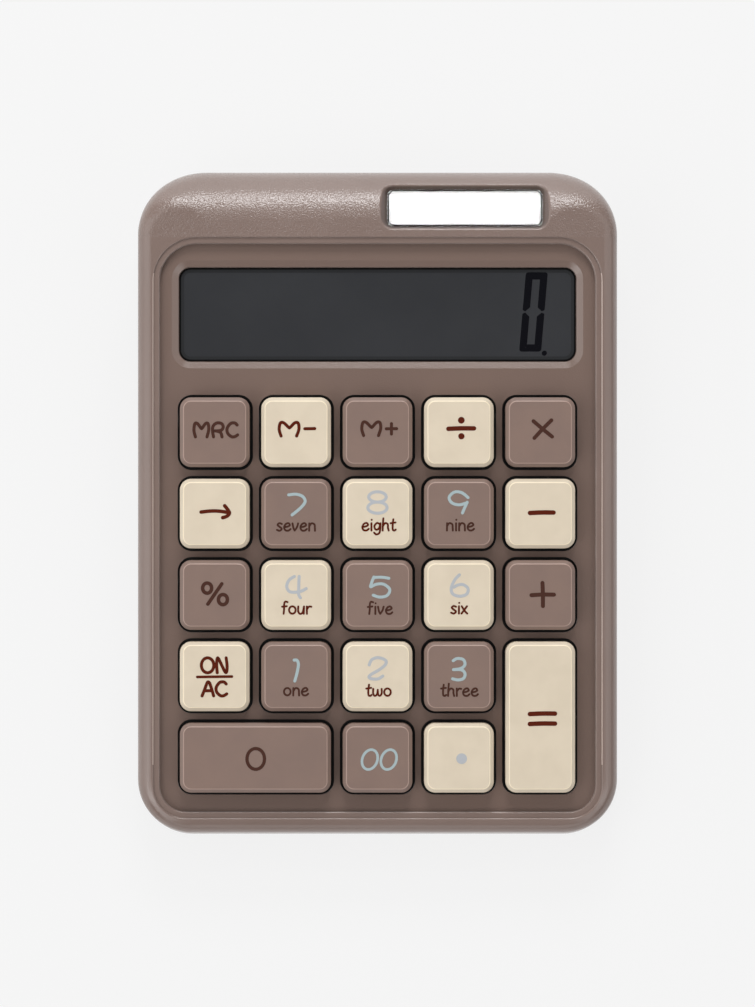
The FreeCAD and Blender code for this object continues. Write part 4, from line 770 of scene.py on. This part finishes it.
sheet = bmesh.new()
for key in keys:
    key_low, key_high = deck_span(key)
    across = round((key_high.x - key_low.x) / CELL)
    deep = round((key_high.y - key_low.y) / CELL)
    for column in range(across):
        for row in range(deep):
            x = (key_low.x + key_high.x) / 2 + (column - (across - 1) / 2) * CELL
            y = (key_low.y + key_high.y) / 2 + (row - (deep - 1) / 2) * CELL
            edges_x = [mat_low.x if x - CELL < mat_low.x else x - CELL / 2,
                       mat_high.x if x + CELL > mat_high.x else x + CELL / 2]
            edges_y = [mat_low.y if y - CELL < mat_low.y else y - CELL / 2,
                       mat_high.y if y + CELL > mat_high.y else y + CELL / 2]
            sheet_cell(sheet, x, y, edges_x, edges_y)
            tag = f"{key}_{column}_{row}"
            dome = mat_piece("dome_" + tag, lathe(DOME_PROFILE), x, y, "case", "keypad_membrane")
            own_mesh(dome)
            mat_piece("pill_" + tag, lathe(PILL_PROFILE), x, y, key, "contact_pills")
bmesh.ops.remove_doubles(sheet, verts=sheet.verts, dist=SHEET_WELD)
thicken(sheet, sheet.faces[:], -SHEET_THICKNESS)
mat_piece("mat_sheet", sheet, 0, 0, "case", "keypad_membrane")


# Camera, at the photograph's viewpoint: square to the deck and far off. It aims from the key with the 5.

PICTURE_HEIGHT = 1007
DISTANCE = 1.2
PIXEL = 0.2222 * MM
BEHIND_KEY = 20.35 * MM
SENSOR_HEIGHT = 36

known_low, known_high = deck_span("key_5")
aim = Vector(((known_low.x + known_high.x) / 2, (known_low.y + known_high.y) / 2 + BEHIND_KEY, known_high.z))
lens = bpy.data.cameras.new("camera")
lens.sensor_fit = "VERTICAL"
lens.sensor_height = SENSOR_HEIGHT
lens.lens = SENSOR_HEIGHT * DISTANCE / (PICTURE_HEIGHT * PIXEL)
camera = bpy.data.objects.new("camera", lens)
bpy.context.scene.collection.objects.link(camera)
camera.matrix_world = deck @ Matrix.Translation(aim + Vector((0, 0, DISTANCE)))
bpy.context.scene.camera = camera


# Floor, lights and surroundings

FLOOR_GLOW = 0.9


def floor_paper():
    """Pale paper that the camera and reflections see mostly glowing, so the shadow on it stays faint."""
    material = bpy.data.materials.new("floor_paper")
    material.use_nodes = True
    tree = material.node_tree
    tree.nodes.remove(tree.nodes["Principled BSDF"])
    paper = tree.nodes.new("ShaderNodeBsdfDiffuse")
    paper.inputs["Color"].default_value = tint(243, 243, 243)
    glow = tree.nodes.new("ShaderNodeEmission")
    glow.inputs["Color"].default_value = tint(245, 245, 245)
    path = tree.nodes.new("ShaderNodeLightPath")
    total = path.outputs["Is Camera Ray"]
    for kind in ("Is Glossy Ray", "Is Transmission Ray"):
        add = tree.nodes.new("ShaderNodeMath")
        add.operation = "ADD"
        tree.links.new(total, add.inputs[0])
        tree.links.new(path.outputs[kind], add.inputs[1])
        total = add.outputs["Value"]
    share = tree.nodes.new("ShaderNodeMath")
    share.operation = "MULTIPLY"
    share.inputs[1].default_value = FLOOR_GLOW
    tree.links.new(total, share.inputs[0])
    mix = tree.nodes.new("ShaderNodeMixShader")
    tree.links.new(share.outputs["Value"], mix.inputs["Fac"])
    tree.links.new(paper.outputs["BSDF"], mix.inputs[1])
    tree.links.new(glow.outputs["Emission"], mix.inputs[2])
    tree.links.new(mix.outputs["Shader"], tree.nodes["Material Output"].inputs["Surface"])
    return material


FLOOR_REACH = 3.0
FLOOR_LEVEL = -0.05 * MM
floor_corners = [(-FLOOR_REACH, -FLOOR_REACH, FLOOR_LEVEL), (FLOOR_REACH, -FLOOR_REACH, FLOOR_LEVEL),
                 (FLOOR_REACH, FLOOR_REACH, FLOOR_LEVEL), (-FLOOR_REACH, FLOOR_REACH, FLOOR_LEVEL)]
floor_mesh = bpy.data.meshes.new("floor")
floor_mesh.from_pydata(floor_corners, [], [(0, 1, 2, 3)])
floor_mesh.materials.append(floor_paper())
floor = bpy.data.objects.new("floor", floor_mesh)
bpy.context.scene.collection.objects.link(floor)

LAMP_DISTANCE = 0.9


def softbox(name, azimuth, from_top, width, height, power):
    """A flat lamp facing the case: degrees round it from the right and down from overhead, metres, watts."""
    lamp = bpy.data.lights.new(name, "AREA")
    lamp.shape = "RECTANGLE"
    lamp.size = width
    lamp.size_y = height
    lamp.energy = power
    holder = bpy.data.objects.new(name, lamp)
    bpy.context.scene.collection.objects.link(holder)
    around = math.radians(azimuth)
    lean = math.radians(from_top)
    heading = Vector((math.sin(lean) * math.cos(around), math.sin(lean) * math.sin(around), math.cos(lean)))
    turn = heading.to_track_quat("Z", "Y").to_matrix().to_4x4()
    holder.matrix_world = Matrix.Translation(heading * LAMP_DISTANCE) @ turn


softbox("rear_softbox", 90, 50, 0.42, 0.26, 3.4)
softbox("left_softbox", 180, 41, 1.0, 0.9, 3.4)
softbox("right_softbox", 0, 41, 1.0, 0.9, 1.8)
softbox("front_left_softbox", 225, 46, 0.5, 0.5, 1.2)
softbox("front_right_softbox", 315, 46, 0.5, 0.5, 0.8)
softbox("window_glint", 85.5, 27, 0.12, 0.08, 0.45)
softbox("rear_wall", 90, 76, 1.2, 0.5, 2.6)
softbox("left_wall", 180, 82, 1.2, 0.4, 1.2)
softbox("front_wall", 270, 70, 1.2, 0.4, 1.2)

WORLD_STRENGTH = 0.13

world = bpy.data.worlds.new("studio")
bpy.context.scene.world = world
world.use_nodes = True
background = world.node_tree.nodes["Background"]
background.inputs["Color"].default_value = (1, 1, 1, 1)
background.inputs["Strength"].default_value = WORLD_STRENGTH

bpy.context.scene.view_settings.view_transform = "Standard"
